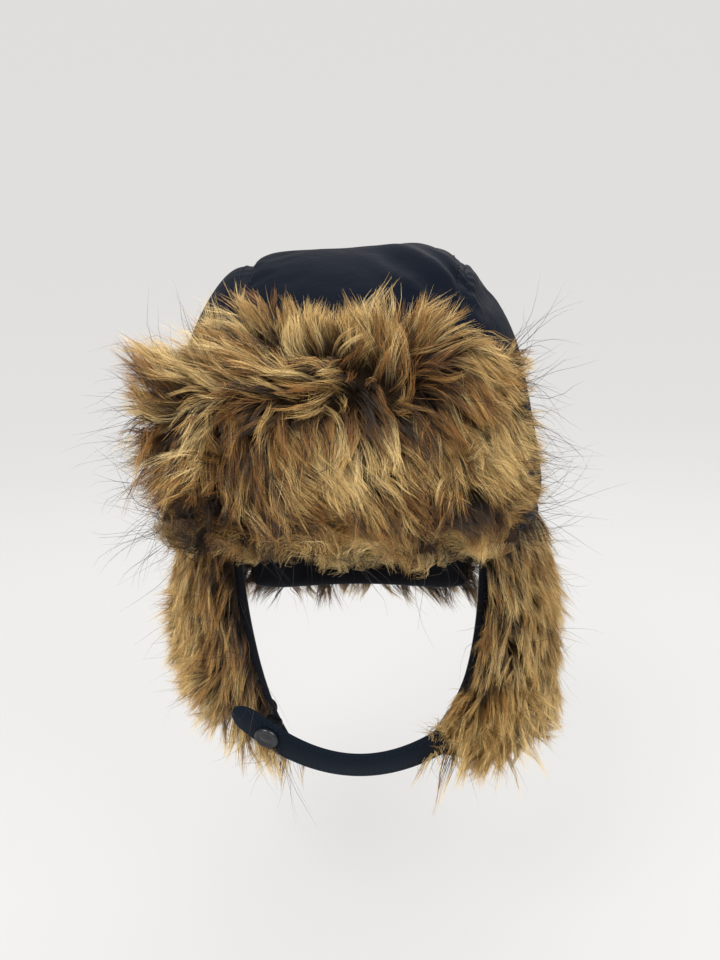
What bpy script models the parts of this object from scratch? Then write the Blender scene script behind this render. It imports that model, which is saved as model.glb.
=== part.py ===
"""A trapper hat: padded nylon crown, fur front flap turned up, fur ear and neck flaps, chin strap with a snap.

Metres, +Z up. The rim of the crown lies in the plane z = 0, the wearer faces -Y and the wearer's left is +X.
Every moving flap hangs from an empty that stands on its hinge line. Each layer is a closed slab of its own,
a hair's breadth clear of the next one.
"""

import math

import bmesh
import bpy
from mathutils import Matrix, Vector

# Crown, outside the shell: half width, half length and height above the rim
CROWN_A = 0.112
CROWN_B = 0.122
CROWN_H = 0.160
CROWN_POWER = 3.0
CROWN_SEAM = 0.345  # where the seams lie, as a share of the way from crown top to rim
SEAM_GAP = 0.002
RINGS = 10
SEGMENTS = 40

# Layers: thickness of each cloth and the gap between two of them
GAP = 0.0004
SHELL = 0.0020
CROWN_WADDING = 0.0080
LINING = 0.0015
FLAP_WADDING = 0.0060
SWEATBAND = 0.0018
SWEATBAND_TALL = 0.030
SWEATBAND_FOOT = 0.0005
BINDING_TALL = 0.0035

# Front flap, turned up against the crown
FRONT_ANGLE = math.radians(48)
FRONT_FOOT = -0.002
FRONT_TOP = 0.100
FRONT_OFF = 0.0035
FRONT_CLOTH = 0.0015
FRONT_STIFFENER = 0.0025
FRONT_PILE = 0.030
FRONT_FUR_SPAN = (-1.04, 0.93)  # as u; it stops short of the flap's end on the wearer's left
FUR_BELOW = 0.006
FUR_ABOVE = 0.010
FRONT_FLARE = 0.012  # how far its corner on the wearer's right stands off
FRONT_HINGE = Vector((0.0, -0.1285, -0.0065))

# Ear flaps, from the rim down; the hem's drop is given at the front edge, the middle and the rear edge
FLAP_TOP = -0.0048
EAR_HINGE_X = 0.116
EAR_HINGE_Y = -0.010
EAR_HINGE_Z = -0.003
EAR_PILE = 0.019
EAR_SHAPES = {
    "left": {"side": 1, "flare": 0.011, "hem": (0.130, 0.147, 0.115)},
    "right": {"side": -1, "flare": 0.000, "hem": (0.136, 0.112, 0.092)},
}
EAR_TOP_A = 0.106
EAR_TOP_B = 0.1136
EAR_TUCK = 0.036  # how much nearer the jaw the hem lies than the rim
EAR_CENTRE_SHIFT = -0.003
EAR_FRONT_ANGLE = -50.0
EAR_FRONT_WRAP = -22.0
EAR_REAR_ANGLE = 31.0
EAR_REAR_WRAP = -17.0

# Neck flap, at the back
NECK_ANGLE = math.radians(51)
NECK_DROP = 0.085
NECK_PILE = 0.019
NECK_A = 0.104
NECK_B = 0.115
NECK_TUCK = 0.010
NECK_HINGE = Vector((0.0, 0.126, -0.004))

# Chin strap: a flat band whose low point hangs under the chin
STRAP_SEWN_X = 0.046
STRAP_TIP_X = -0.068
STRAP_LOW = -0.1325
STRAP_RISE = 7.2
STRAP_BACK_Y = -0.0973
STRAP_THICK = 0.0020
STRAP_WIDE = 0.019
STRAP_TILT = math.radians(26)  # its face looks forward and a little down
SNAP_X = -0.050
SNAP_RADIUS = 0.0068
SNAP_TALL = 0.0026
SNAP_GAP = 0.0003
STUD_Y = -0.0916
STUD_PLACE = (-0.80, 0.85)  # where its back plate lies, as u and v on the flap
STUD_RADIUS = 0.0050
STUD_TALL = 0.0026
STUD_PLATE = 0.0010
SOCKET_RADIUS = 0.0055
SOCKET_TALL = 0.0018
STUD_SEAT = 0.0016

# Hook and loop patches that hold the front flap up, and the label sewn in at the back
PATCH_ANGLE = math.radians(8)
PATCH_FOOT = 0.066
PATCH_TOP = 0.086
PATCH_THICK = 0.0011
LABEL_WIDE = 0.022
LABEL_TALL = 0.018
LABEL_FOOT = 0.004
LABEL_LEAN = 0.0012
LABEL_THICK = 0.0006

NAVY = (0.009, 0.013, 0.021)
BLACK = (0.008, 0.009, 0.012)
FUR = (0.33, 0.19, 0.08)


def clear_scene():
    for obj in list(bpy.data.objects):
        bpy.data.objects.remove(obj, do_unlink=True)


def material(name, colour, roughness, metallic=0.0):
    mat = bpy.data.materials.new(name)
    mat.use_nodes = True
    shader = mat.node_tree.nodes["Principled BSDF"]
    shader.inputs["Base Color"].default_value = (*colour, 1.0)
    shader.inputs["Roughness"].default_value = roughness
    shader.inputs["Metallic"].default_value = metallic
    mat.diffuse_color = (*colour, 1.0)
    return mat


def lerp(a, b, t):
    return a + (b - a) * t


def steps(low, high, count):
    return [lerp(low, high, i / count) for i in range(count + 1)]


def empty(name, place, parent=None):
    """An empty on a hinge line, which carries one moving flap."""
    holder = bpy.data.objects.new(name, None)
    bpy.context.collection.objects.link(holder)
    holder.location = place
    if parent is not None:
        holder.parent = parent
        holder.location = place - parent.location
    return holder


def world_place(holder):
    place = Vector(holder.location)
    while holder.parent is not None:
        holder = holder.parent
        place += holder.location
    return place


def place_mesh(name, bm, mat, holder):
    """Turns a bmesh drawn in world coordinates into a named object that hangs from its holder."""
    bmesh.ops.recalc_face_normals(bm, faces=bm.faces)
    mesh = bpy.data.meshes.new(name)
    bm.to_mesh(mesh)
    bm.free()
    mesh.transform(Matrix.Translation(-world_place(holder)))
    mesh.materials.append(mat)
    obj = bpy.data.objects.new(name, mesh)
    bpy.context.collection.objects.link(obj)
    obj.parent = holder
    return obj


def slab_mesh(point, us, vs, inner, outer, closed=False):
    """A closed slab between two offsets of the surface point(u, v, offset); offsets may vary over (u, v)."""
    bm = bmesh.new()
    grids = []
    for offset in (inner, outer):
        depth = offset if callable(offset) else (lambda u, v, d=offset: d)
        grids.append([[bm.verts.new(point(u, v, depth(u, v))) for u in us] for v in vs])
    low, high = grids
    rows, columns = len(vs), len(us)
    spans = columns if closed else columns - 1
    for i in range(rows - 1):
        for j in range(spans):
            k = (j + 1) % columns
            bm.faces.new((low[i][j], low[i][k], low[i + 1][k], low[i + 1][j]))
            bm.faces.new((high[i][j], high[i + 1][j], high[i + 1][k], high[i][k]))
    for j in range(spans):
        k = (j + 1) % columns
        bm.faces.new((low[0][j], high[0][j], high[0][k], low[0][k]))
        bm.faces.new((low[-1][j], low[-1][k], high[-1][k], high[-1][j]))
    if not closed:
        for i in range(rows - 1):
            bm.faces.new((low[i][0], low[i + 1][0], high[i + 1][0], high[i][0]))
            bm.faces.new((low[i][-1], high[i][-1], high[i + 1][-1], low[i + 1][-1]))
    return bm


def turned_mesh(profile, centre, axis, segments=40):
    """A solid of revolution: profile lists (radius, height along the axis) from one end of the axis to the other."""
    bm = bmesh.new()
    turn = axis.to_track_quat("Z", "Y").to_matrix()
    rings = []
    for radius, height in profile:
        if radius == 0:
            rings.append([bm.verts.new(centre + turn @ Vector((0, 0, height)))])
            continue
        ring = []
        for i in range(segments):
            angle = 2 * math.pi * i / segments
            spot = Vector((radius * math.cos(angle), radius * math.sin(angle), height))
            ring.append(bm.verts.new(centre + turn @ spot))
        rings.append(ring)
    for low, high in zip(rings, rings[1:]):
        for i in range(segments):
            k = (i + 1) % segments
            if len(low) == 1:
                bm.faces.new((low[0], high[i], high[k]))
            elif len(high) == 1:
                bm.faces.new((low[i], high[0], low[k]))
            else:
                bm.faces.new((low[i], high[i], high[k], low[k]))
    return bm


# Crown ---------------------------------------------------------------------------------------------------------


def wall_share(z):
    """The crown's half width at height z, as a share of its half width at the rim."""
    share = max(z, 0.0) / CROWN_H
    return (1.0 - share**CROWN_POWER) ** (1.0 / CROWN_POWER)


def wall_point(angle, z, out):
    """A point on the crown's wall, a distance out from its shell. The front of the hat is at -90 degrees."""
    share = wall_share(z)
    x = (CROWN_A * share + out) * math.cos(angle)
    y = (CROWN_B * share + out) * math.sin(angle)
    return Vector((x, y, z))


def dome_point(across, along, depth):
    """Maps the unit disc onto the crown: its centre is the top and its edge is the rim; depth is inward."""
    radius = min(math.hypot(across, along), 1.0)
    angle = math.atan2(along, across)
    rise = (1.0 - radius) * math.pi / 2
    flat, tall = math.cos(rise), math.sin(rise)
    reach = (flat**CROWN_POWER + tall**CROWN_POWER) ** (-1.0 / CROWN_POWER)
    x = (CROWN_A - depth) * reach * flat * math.cos(angle)
    y = (CROWN_B - depth) * reach * flat * math.sin(angle)
    z = (CROWN_H - depth) * reach * tall
    return Vector((x, y, 0.0 if radius == 1.0 else z))


def disc_slab():
    """A flat round slab of unit radius, its faces in rings, with its top at z = 1 and its bottom at z = 0."""
    bm = bmesh.new()
    sides = []
    for level in (0.0, 1.0):
        rings = [[bm.verts.new((0.0, 0.0, level))]]
        for i in range(1, RINGS + 1):
            radius = i / RINGS
            ring = []
            for j in range(SEGMENTS):
                angle = 2 * math.pi * (j + 0.5) / SEGMENTS
                ring.append(bm.verts.new((radius * math.cos(angle), radius * math.sin(angle), level)))
            rings.append(ring)
        for j in range(SEGMENTS):
            k = (j + 1) % SEGMENTS
            bm.faces.new((rings[0][0], rings[1][j], rings[1][k]))
            for i in range(1, RINGS):
                bm.faces.new((rings[i][j], rings[i + 1][j], rings[i + 1][k], rings[i][k]))
        sides.append(rings[-1])
    low, high = sides
    for j in range(SEGMENTS):
        k = (j + 1) % SEGMENTS
        bm.faces.new((low[j], high[j], high[k], low[k]))
    bmesh.ops.recalc_face_normals(bm, faces=bm.faces)
    return bm


def cut_slab(bm, across, keep):
    """Cuts the slab along a line of the disc and closes the cut. keep is +1 for the side further out along X."""
    geometry = bm.verts[:] + bm.edges[:] + bm.faces[:]
    bmesh.ops.bisect_plane(
        bm,
        geom=geometry,
        dist=1e-6,
        plane_co=(across, 0, 0),
        plane_no=(-keep, 0, 0),
        clear_outer=True,
    )
    open_edges = [edge for edge in bm.edges if edge.is_boundary]
    bmesh.ops.holes_fill(bm, edges=open_edges, sides=0)


def crown_panel(name, part, outside, thickness, mat, holder):
    """One panel of one crown layer: its centre strip or one side, a depth below the crown's outer surface."""
    bm = disc_slab()
    if part == "centre":
        cut_slab(bm, CROWN_SEAM - SEAM_GAP, -1)
        cut_slab(bm, -CROWN_SEAM + SEAM_GAP, 1)
    elif part == "left":
        cut_slab(bm, CROWN_SEAM + SEAM_GAP, 1)
    else:
        cut_slab(bm, -CROWN_SEAM - SEAM_GAP, -1)
    bmesh.ops.triangulate(bm, faces=bm.faces)
    for vert in bm.verts:
        depth = outside + thickness * (1.0 - vert.co.z)
        vert.co = dome_point(vert.co.x, vert.co.y, depth)
    return place_mesh(name, bm, mat, holder)


def build_crown(mats, holder):
    layers = [
        ("shell", SHELL, mats["nylon"]),
        ("wadding", CROWN_WADDING, mats["wadding"]),
        ("lining", LINING, mats["lining"]),
    ]
    depth = 0.0
    for layer, thickness, mat in layers:
        for part in ("centre", "left", "right"):
            crown_panel(f"crown_{layer}_{part}", part, depth, thickness, mat, holder)
        depth += thickness + GAP
    build_sweatband(depth, mats, holder)
    build_binding(depth + SWEATBAND, mats, holder)
    build_label(depth + SWEATBAND + GAP, mats, holder)
    around = steps(-math.pi / 2 - PATCH_ANGLE, -math.pi / 2 + PATCH_ANGLE, 6)
    heights = steps(PATCH_FOOT, PATCH_TOP, 4)
    bm = slab_mesh(wall_point, around, heights, GAP, GAP + PATCH_THICK)
    place_mesh("crown_hook_patch", bm, mats["hook"], holder)


def ring_angles():
    return [2 * math.pi * (j + 0.5) / SEGMENTS for j in range(SEGMENTS)]


def ring_point(angle, z, depth):
    """A point on the upright band inside the rim, a depth inside the crown's outer surface."""
    return Vector(((CROWN_A - depth) * math.cos(angle), (CROWN_B - depth) * math.sin(angle), z))


def build_sweatband(depth, mats, holder):
    heights = steps(SWEATBAND_FOOT, SWEATBAND_TALL, 2)
    lean = 0.0006  # the lining leans in this far at the band's upper edge
    bm = slab_mesh(ring_point, ring_angles(), heights, depth + lean + SWEATBAND, depth + lean, closed=True)
    place_mesh("sweatband", bm, mats["sweatband"], holder)


def build_binding(depth, mats, holder):
    heights = [-GAP - BINDING_TALL, -GAP]
    bm = slab_mesh(ring_point, ring_angles(), heights, depth, -GAP, closed=True)
    place_mesh("rim_binding", bm, mats["binding"], holder)


def build_label(depth, mats, holder):
    half = LABEL_WIDE / 2 / CROWN_B
    around = steps(math.pi / 2 - half, math.pi / 2 + half, 2)
    heights = [LABEL_FOOT, LABEL_FOOT + LABEL_TALL]
    bm = slab_mesh(ring_point, around, heights, depth + LABEL_LEAN + LABEL_THICK, depth + LABEL_LEAN)
    place_mesh("care_label", bm, mats["label"], holder)


# Front flap ----------------------------------------------------------------------------------------------------


def front_point(u, z, out):
    """u runs from the corner on the wearer's right, -1, to the one on the left, 1."""
    angle = -math.pi / 2 + u * FRONT_ANGLE
    flare = FRONT_FLARE * max(-u, 0.0) ** 3
    return wall_point(angle, z, out + flare)


def front_pile(base):
    """The fur's outer face: full in the middle and thinner towards every edge."""

    def outer(u, z):
        share = (z - FRONT_FOOT) / (FRONT_TOP - FRONT_FOOT)
        upright = 1.0 - abs(2.0 * min(max(share, 0.0), 1.0) - 1.0) ** 4
        across = 1.0 - abs(u) ** 4
        return base + FRONT_PILE * (0.45 + 0.25 * upright + 0.30 * across)

    return outer


def build_front_flap(mats, holder):
    columns = steps(-1.0, 1.0, 20)
    rows = steps(FRONT_FOOT, FRONT_TOP, 8)
    depth = FRONT_OFF
    bm = slab_mesh(front_point, columns, rows, depth, depth + FRONT_CLOTH)
    place_mesh("front_flap_facing", bm, mats["nylon"], holder)
    depth += FRONT_CLOTH + GAP
    bm = slab_mesh(front_point, columns, rows, depth, depth + FRONT_STIFFENER)
    place_mesh("front_flap_stiffener", bm, mats["stiffener"], holder)
    depth += FRONT_STIFFENER + GAP
    columns = steps(*FRONT_FUR_SPAN, 20)
    rows = steps(FRONT_FOOT - FUR_BELOW, FRONT_TOP + FUR_ABOVE, 10)
    bm = slab_mesh(front_point, columns, rows, depth, front_pile(depth))
    place_mesh("front_flap_fur", bm, mats["fur"], holder)
    around = steps(-PATCH_ANGLE / FRONT_ANGLE, PATCH_ANGLE / FRONT_ANGLE, 6)
    heights = steps(PATCH_FOOT, PATCH_TOP, 4)
    outside = FRONT_OFF - GAP
    bm = slab_mesh(front_point, around, heights, outside - PATCH_THICK, outside)
    place_mesh("front_flap_loop_patch", bm, mats["loop"], holder)


# Ear flaps -----------------------------------------------------------------------------------------------------


def through(values, u):
    """A smooth curve through three values, at u = -1, 0 and 1."""
    first, middle, last = values
    return middle + (last - first) / 2 * u + ((last + first) / 2 - middle) * u * u


def ear_surface(shape):
    """The outer face of the flap's padding: u from the face edge, -1, to the rear edge, 1; v from rim to hem."""

    def point(u, v, out):
        share = min(v, 1.0)
        front = EAR_FRONT_ANGLE + EAR_FRONT_WRAP * share**2.5
        rear = EAR_REAR_ANGLE + EAR_REAR_WRAP * share
        angle = math.radians(lerp(front, rear, (u + 1) / 2))
        half_a = EAR_TOP_A + shape["flare"] * math.sin(share * math.pi / 2)
        half_b = EAR_TOP_B - EAR_TUCK * share
        normal = Vector((math.cos(angle) / half_a, math.sin(angle) / half_b, 0)).normalized()
        x = half_a * math.cos(angle) + out * normal.x
        y = EAR_CENTRE_SHIFT * share + half_b * math.sin(angle) + out * normal.y
        return Vector((shape["side"] * x, y, FLAP_TOP - v * through(shape["hem"], u)))

    return point


def ear_pile(u, v):
    """The fur's thickness: thin beside the face, where the strap crosses it, and rounded off at the rim and hem."""
    front = min(max((u + 1.0) / 0.9, 0.0), 1.0)
    rim = min(max(v / 0.18, 0.0), 1.0)
    hem = min(max((1.14 - v) / 0.25, 0.0), 1.0)
    soft = front * front * (3 - 2 * front)
    return EAR_PILE * (0.42 + 0.58 * soft) * (0.45 + 0.55 * rim) * (0.5 + 0.5 * hem)


def build_ear_flap(which, mats, holder):
    shape = EAR_SHAPES[which]
    point = ear_surface(shape)
    name = f"ear_flap_{which}"
    columns = steps(-1.0, 1.0, 14)
    rows = steps(0.0, 1.0, 9)
    pile_rows = steps(0.02, 1.14, 10)
    bm = slab_mesh(point, columns, pile_rows, 0.0, ear_pile)
    place_mesh(f"{name}_fur", bm, mats["fur"], holder)
    depth = -GAP
    bm = slab_mesh(point, columns, rows, depth - FLAP_WADDING, depth)
    place_mesh(f"{name}_wadding", bm, mats["wadding"], holder)
    depth -= FLAP_WADDING + GAP
    bm = slab_mesh(point, columns, rows, depth - LINING, depth)
    place_mesh(f"{name}_lining", bm, mats["lining"], holder)
    edge = steps(-1.048, -1.006, 1)
    bm = slab_mesh(point, edge, rows, depth - LINING, 0.004)
    place_mesh(f"{name}_face_edging", bm, mats["binding"], holder)


# Neck flap -----------------------------------------------------------------------------------------------------


def neck_point(u, v, out):
    """u runs from the wearer's right side, -1, to the left side, 1; v from rim to hem."""
    angle = math.pi / 2 - u * NECK_ANGLE
    half_a = NECK_A
    half_b = NECK_B - NECK_TUCK * min(v, 1.0)
    normal = Vector((math.cos(angle) / half_a, math.sin(angle) / half_b, 0)).normalized()
    x = half_a * math.cos(angle) + out * normal.x
    y = half_b * math.sin(angle) + out * normal.y
    return Vector((x, y, FLAP_TOP - v * NECK_DROP * (1.0 - 0.12 * u**4)))


def neck_pile(u, v):
    edge = min(max((1.0 - abs(u)) / 0.2, 0.0), 1.0)
    rim = min(max(v / 0.18, 0.0), 1.0)
    return NECK_PILE * (0.6 + 0.4 * edge) * (0.45 + 0.55 * rim)


def build_neck_flap(mats, holder):
    columns = steps(-1.0, 1.0, 16)
    rows = steps(0.0, 1.0, 6)
    bm = slab_mesh(neck_point, columns, steps(0.03, 1.16, 7), 0.0, neck_pile)
    place_mesh("neck_flap_fur", bm, mats["fur"], holder)
    depth = -GAP
    bm = slab_mesh(neck_point, columns, rows, depth - FLAP_WADDING, depth)
    place_mesh("neck_flap_wadding", bm, mats["wadding"], holder)
    depth -= FLAP_WADDING + GAP
    bm = slab_mesh(neck_point, columns, rows, depth - LINING, depth)
    place_mesh("neck_flap_lining", bm, mats["lining"], holder)


# Chin strap and snap -------------------------------------------------------------------------------------------


def strap_line(x):
    return STRAP_LOW + STRAP_RISE * x * x


def strap_frame(x):
    """The middle of the strap's back face at x, then the ways across its width and out of its front face."""
    slope = Vector((1.0, 0.0, 2 * STRAP_RISE * x)).normalized()
    upright = Vector((-slope.z, 0.0, slope.x))
    forward = Vector((0.0, -1.0, 0.0))
    wide = upright * math.cos(STRAP_TILT) + forward * math.sin(STRAP_TILT)
    out = forward * math.cos(STRAP_TILT) - upright * math.sin(STRAP_TILT)
    return Vector((x, STRAP_BACK_Y, strap_line(x))), wide, out


def strap_point(x, across, out):
    """A point of the strap: x along it, across its width from -1 to 1, and out in front of its back face."""
    tip = min((x - STRAP_TIP_X) / (STRAP_WIDE / 2), 1.0)
    half = STRAP_WIDE / 2 * math.sqrt(max(1.0 - (1.0 - tip) ** 2, 0.03))
    middle, wide, forward = strap_frame(x)
    return middle + wide * across * half + forward * out


def build_chin_strap(mats, holder):
    tip = [STRAP_TIP_X + STRAP_WIDE / 2 * share for share in (0.0, 0.06, 0.2, 0.45, 0.7)]
    along = tip + steps(STRAP_TIP_X + STRAP_WIDE / 2, STRAP_SEWN_X, 18)
    bm = slab_mesh(strap_point, along, steps(-1.0, 1.0, 3), 0.0, STRAP_THICK)
    place_mesh("chin_strap_band", bm, mats["webbing"], holder)
    middle, _, out = strap_frame(SNAP_X)
    rounded = [(0, 0), (1.0, 0), (1.0, 0.25), (0.94, 0.5), (0.8, 0.72), (0.5, 0.92), (0, 1.0)]
    cap = [(SNAP_RADIUS * radius, SNAP_TALL * height) for radius, height in rounded]
    front = middle + out * (STRAP_THICK + SNAP_GAP)
    place_mesh("snap_cap", turned_mesh(cap, front, out), mats["gunmetal"], holder)
    shares = [(0, 0), (1.0, 0), (1.0, 1.0), (0.55, 1.0), (0.51, 0.33), (0, 0.33)]
    ring = [(SOCKET_RADIUS * radius, SOCKET_TALL * height) for radius, height in shares]
    back = middle - out * SNAP_GAP
    place_mesh("snap_socket", turned_mesh(ring, back, -out), mats["gunmetal"], holder)


def build_stud(mats, holder):
    """The snap's other half, on the flap of the wearer's right."""
    middle, _, out = strap_frame(SNAP_X)
    front = middle - out * (STUD_Y - STRAP_BACK_Y) / math.cos(STRAP_TILT)
    post = [(0, 0), (0.32, 0), (0.42, 0.19), (0.36, 0.42), (0.36, 0.62)]
    flange = [(1.0, 0.62), (1.0, 1.0), (0, 1.0)]
    shape = [(STUD_RADIUS * radius, STUD_TALL * height) for radius, height in post + flange]
    place_mesh("snap_stud", turned_mesh(shape, front, -out), mats["gunmetal"], holder)
    point = ear_surface(EAR_SHAPES["right"])
    inside = -(2 * GAP + FLAP_WADDING + LINING + GAP)
    base = point(*STUD_PLACE, inside)
    normal = (point(*STUD_PLACE, 0.0) - base).normalized()
    plate = [(0, 0.0), (STUD_RADIUS, 0.0), (STUD_RADIUS, STUD_PLATE), (0, STUD_PLATE)]
    place_mesh("snap_stud_back", turned_mesh(plate, base - normal * STUD_SEAT, -normal), mats["gunmetal"], holder)


def make_materials():
    return {
        "nylon": material("navy_nylon", NAVY, 0.42),
        "wadding": material("white_wadding", (0.72, 0.72, 0.70), 0.95),
        "lining": material("black_lining", BLACK, 0.55),
        "sweatband": material("black_sweatband", BLACK, 0.75),
        "binding": material("black_binding", BLACK, 0.60),
        "label": material("blank_label", (0.60, 0.60, 0.58), 0.80),
        "hook": material("hook_tape", BLACK, 0.85),
        "loop": material("loop_tape", BLACK, 0.95),
        "stiffener": material("stiffener_felt", (0.45, 0.45, 0.43), 0.95),
        "fur": material("faux_fur", FUR, 0.85),
        "webbing": material("navy_strap", NAVY, 0.65),
        "gunmetal": material("black_snap_metal", (0.03, 0.035, 0.04), 0.28, 0.9),
    }


def main():
    clear_scene()
    mats = make_materials()
    crown = empty("crown_frame", Vector((0, 0, 0)))
    front = empty("front_flap_hinge", FRONT_HINGE, crown)
    neck = empty("neck_flap_hinge", NECK_HINGE, crown)
    ears = {}
    for which, shape in EAR_SHAPES.items():
        place = Vector((shape["side"] * EAR_HINGE_X, EAR_HINGE_Y, EAR_HINGE_Z))
        ears[which] = empty(f"ear_flap_{which}_hinge", place, crown)
    strap_place = Vector((STRAP_SEWN_X, STRAP_BACK_Y, strap_line(STRAP_SEWN_X)))
    strap = empty("chin_strap_hinge", strap_place, ears["left"])
    strap.location = strap_place - ears["left"].location
    build_crown(mats, crown)
    build_front_flap(mats, front)
    for which in EAR_SHAPES:
        build_ear_flap(which, mats, ears[which])
    build_neck_flap(mats, neck)
    build_chin_strap(mats, strap)
    build_stud(mats, ears["right"])


main()
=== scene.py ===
import math

import bmesh
import bpy
import numpy as np
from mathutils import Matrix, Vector
from mathutils.bvhtree import BVHTree
from mathutils.kdtree import KDTree


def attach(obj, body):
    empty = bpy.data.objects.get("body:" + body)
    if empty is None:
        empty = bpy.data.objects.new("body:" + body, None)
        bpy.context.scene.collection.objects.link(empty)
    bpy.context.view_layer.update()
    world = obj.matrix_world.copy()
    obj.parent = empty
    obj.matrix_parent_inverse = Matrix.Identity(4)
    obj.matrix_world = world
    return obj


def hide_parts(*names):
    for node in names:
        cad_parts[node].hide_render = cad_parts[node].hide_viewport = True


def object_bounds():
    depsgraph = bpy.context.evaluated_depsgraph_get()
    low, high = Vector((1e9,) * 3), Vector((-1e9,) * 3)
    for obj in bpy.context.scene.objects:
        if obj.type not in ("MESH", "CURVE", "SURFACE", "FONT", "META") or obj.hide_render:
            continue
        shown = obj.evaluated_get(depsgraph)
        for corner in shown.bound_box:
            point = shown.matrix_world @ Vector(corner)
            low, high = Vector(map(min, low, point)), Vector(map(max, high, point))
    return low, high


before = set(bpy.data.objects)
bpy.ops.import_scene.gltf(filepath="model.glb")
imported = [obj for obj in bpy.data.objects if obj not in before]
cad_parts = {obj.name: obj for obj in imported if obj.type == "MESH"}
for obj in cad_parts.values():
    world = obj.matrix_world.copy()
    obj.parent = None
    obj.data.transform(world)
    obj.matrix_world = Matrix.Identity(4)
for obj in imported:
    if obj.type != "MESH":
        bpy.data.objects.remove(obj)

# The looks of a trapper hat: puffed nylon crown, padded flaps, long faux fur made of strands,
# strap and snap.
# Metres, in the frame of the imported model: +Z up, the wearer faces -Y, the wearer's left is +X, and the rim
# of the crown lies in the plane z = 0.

CAD_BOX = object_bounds()

# The hat's driving sizes, the same as the model's
CROWN_A = 0.112
CROWN_B = 0.122
CROWN_H = 0.160
CROWN_POWER = 3.0
CROWN_SEAM = 0.345
SHELL = 0.0018
WALL = 0.0124  # shell, wadding and lining together
QUILT = 0.0085  # the crown's wadding and lining
FLAP_PAD = 0.0083  # wadding and lining of a flap together
FRONT_ANGLE = math.radians(48)
FRONT_FOOT = -0.002
FRONT_TOP = 0.100
FRONT_OFF = 0.0035
FRONT_FLARE = 0.012
FRONT_SAG = 0.10  # how far the soft corners have sunk, as a share of the flap's height
FRONT_BACKING = 0.0083
BOARD = 0.0044  # the front flap's facing and stiffener together
FUR_BASE = 0.0006  # where the fur's backing lies on the ear and neck flaps
FLAP_TOP = -0.0048
EAR_SHAPES = {
    "left": {"side": 1, "flare": 0.011, "hem": (0.130, 0.147, 0.115), "chin_fur": 0.019},
    "right": {"side": -1, "flare": 0.000, "hem": (0.136, 0.112, 0.092), "chin_fur": 0.007},
}
EAR_TOP_A = 0.106
EAR_TOP_B = 0.1136
EAR_TUCK = 0.036
EAR_CENTRE_SHIFT = -0.003
NECK_ANGLE = math.radians(51)
NECK_DROP = 0.085
NECK_A = 0.104
NECK_B = 0.115
NECK_TUCK = 0.010
STRAP_SEWN_X = 0.046
STRAP_TIP_X = -0.068
STRAP_LOW = -0.1325
STRAP_RISE = 7.2
STRAP_TILT = math.radians(26)
STRAP_BACK_Y = -0.0973
STRAP_THICK = 0.0020
STRAP_WIDE = 0.019
SNAP_X = -0.050
SNAP_RADIUS = 0.0068
SNAP_TALL = 0.0026
SNAP_GAP = 0.0003

# Fur
STRAND_POINTS = 6
STRAND_SIDES = 3
STRAND_RADIUS = 0.00017
GUARD_RADIUS = 0.00012
STRANDS_IN_LOCK = 18
LOCK_POINTS = 14
LOCK_SPREAD = 0.0032
LOCK_CLUMP = 0.86
HAIRS_IN_TUFT = 3
DARKEST = 0.99
FULL_TURN = 6.28
LOCKS = {"front": 2300, "ear": 1200, "chin": 230, "neck": 1000}
GUARD_HAIRS = {"front": (270, 0.048), "ear": (120, 0.040), "neck": (60, 0.042)}  # count, length
FRONT_PILE = 0.004  # thickness of the short undercoat
PILE = 0.003
STRANDS_IN_PIECE = 6600
UV_NAME = "OFBake"

# Camera and floor
CAMERA_PLACE = (0.0, -0.475, 0.0855)
CAMERA_PITCH = math.radians(9)
CAMERA_LENS = 27.7
FLOOR_Z = -0.275
BOWL_RADIUS = 6.0
BOWL_TURN = 4.0
BOWL_WALL = 5.0
BOWL_STEPS = 12
BOWL_SIDES = 72
SKY_COLOUR = (0.95, 0.97, 1.0)
SKY_STRENGTH = 0.9
STAGE_PAINT = (0.17, 0.168, 0.165)
STAGE_GLOW = (0.59, 0.582, 0.570)


# ---- Small helpers


def unit(vectors):
    return vectors / np.maximum(np.linalg.norm(vectors, axis=-1, keepdims=True), 1e-9)


def smooth(t):
    t = np.clip(t, 0.0, 1.0)
    return t * t * (3 - 2 * t)


def bell(off, width):
    """A smooth bump: 1 at off = 0, fading over width."""
    return np.exp(-((off / width) ** 2))


def link_new(name, data):
    obj = bpy.data.objects.new(name, data)
    bpy.context.scene.collection.objects.link(obj)
    return obj


def add_mesh(name, verts, faces, material):
    mesh = bpy.data.meshes.new(name)
    mesh.from_pydata([tuple(v) for v in verts], [], [tuple(f) for f in faces])
    mesh.materials.append(material)
    mesh.polygons.foreach_set("use_smooth", [True] * len(mesh.polygons))
    mesh.update()
    return link_new(name, mesh)


def quads(ids, flip=False):
    """One quad for each cell of a grid of point numbers."""
    corners = [ids[:-1, :-1], ids[:-1, 1:], ids[1:, 1:], ids[1:, :-1]]
    if flip:
        corners = [corners[k] for k in (0, 3, 2, 1)]
    return np.stack(corners, axis=-1).reshape(-1, 4)


def tube_quads(rings, size, flip=False, closed=False):
    """The quads of a tube made of rings of size points each; closed joins the last ring to the first."""
    ids = np.arange(rings * size).reshape(rings, size)
    return quads(np.pad(ids, ((0, int(closed)), (0, 1)), mode="wrap"), flip).tolist()


def apply_modifiers(obj):
    """Keeps the shape that the modifiers give and drops the modifiers."""
    shown = obj.evaluated_get(bpy.context.evaluated_depsgraph_get())
    mesh = bpy.data.meshes.new_from_object(shown)
    obj.modifiers.clear()
    old = obj.data
    obj.data = mesh
    bpy.data.meshes.remove(old)


def mesh_points(obj):
    points = np.zeros(len(obj.data.vertices) * 3)
    obj.data.vertices.foreach_get("co", points)
    return points.reshape(-1, 3)


def set_points(obj, points):
    obj.data.vertices.foreach_set("co", np.asarray(points, float).ravel())
    obj.data.update()


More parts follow.
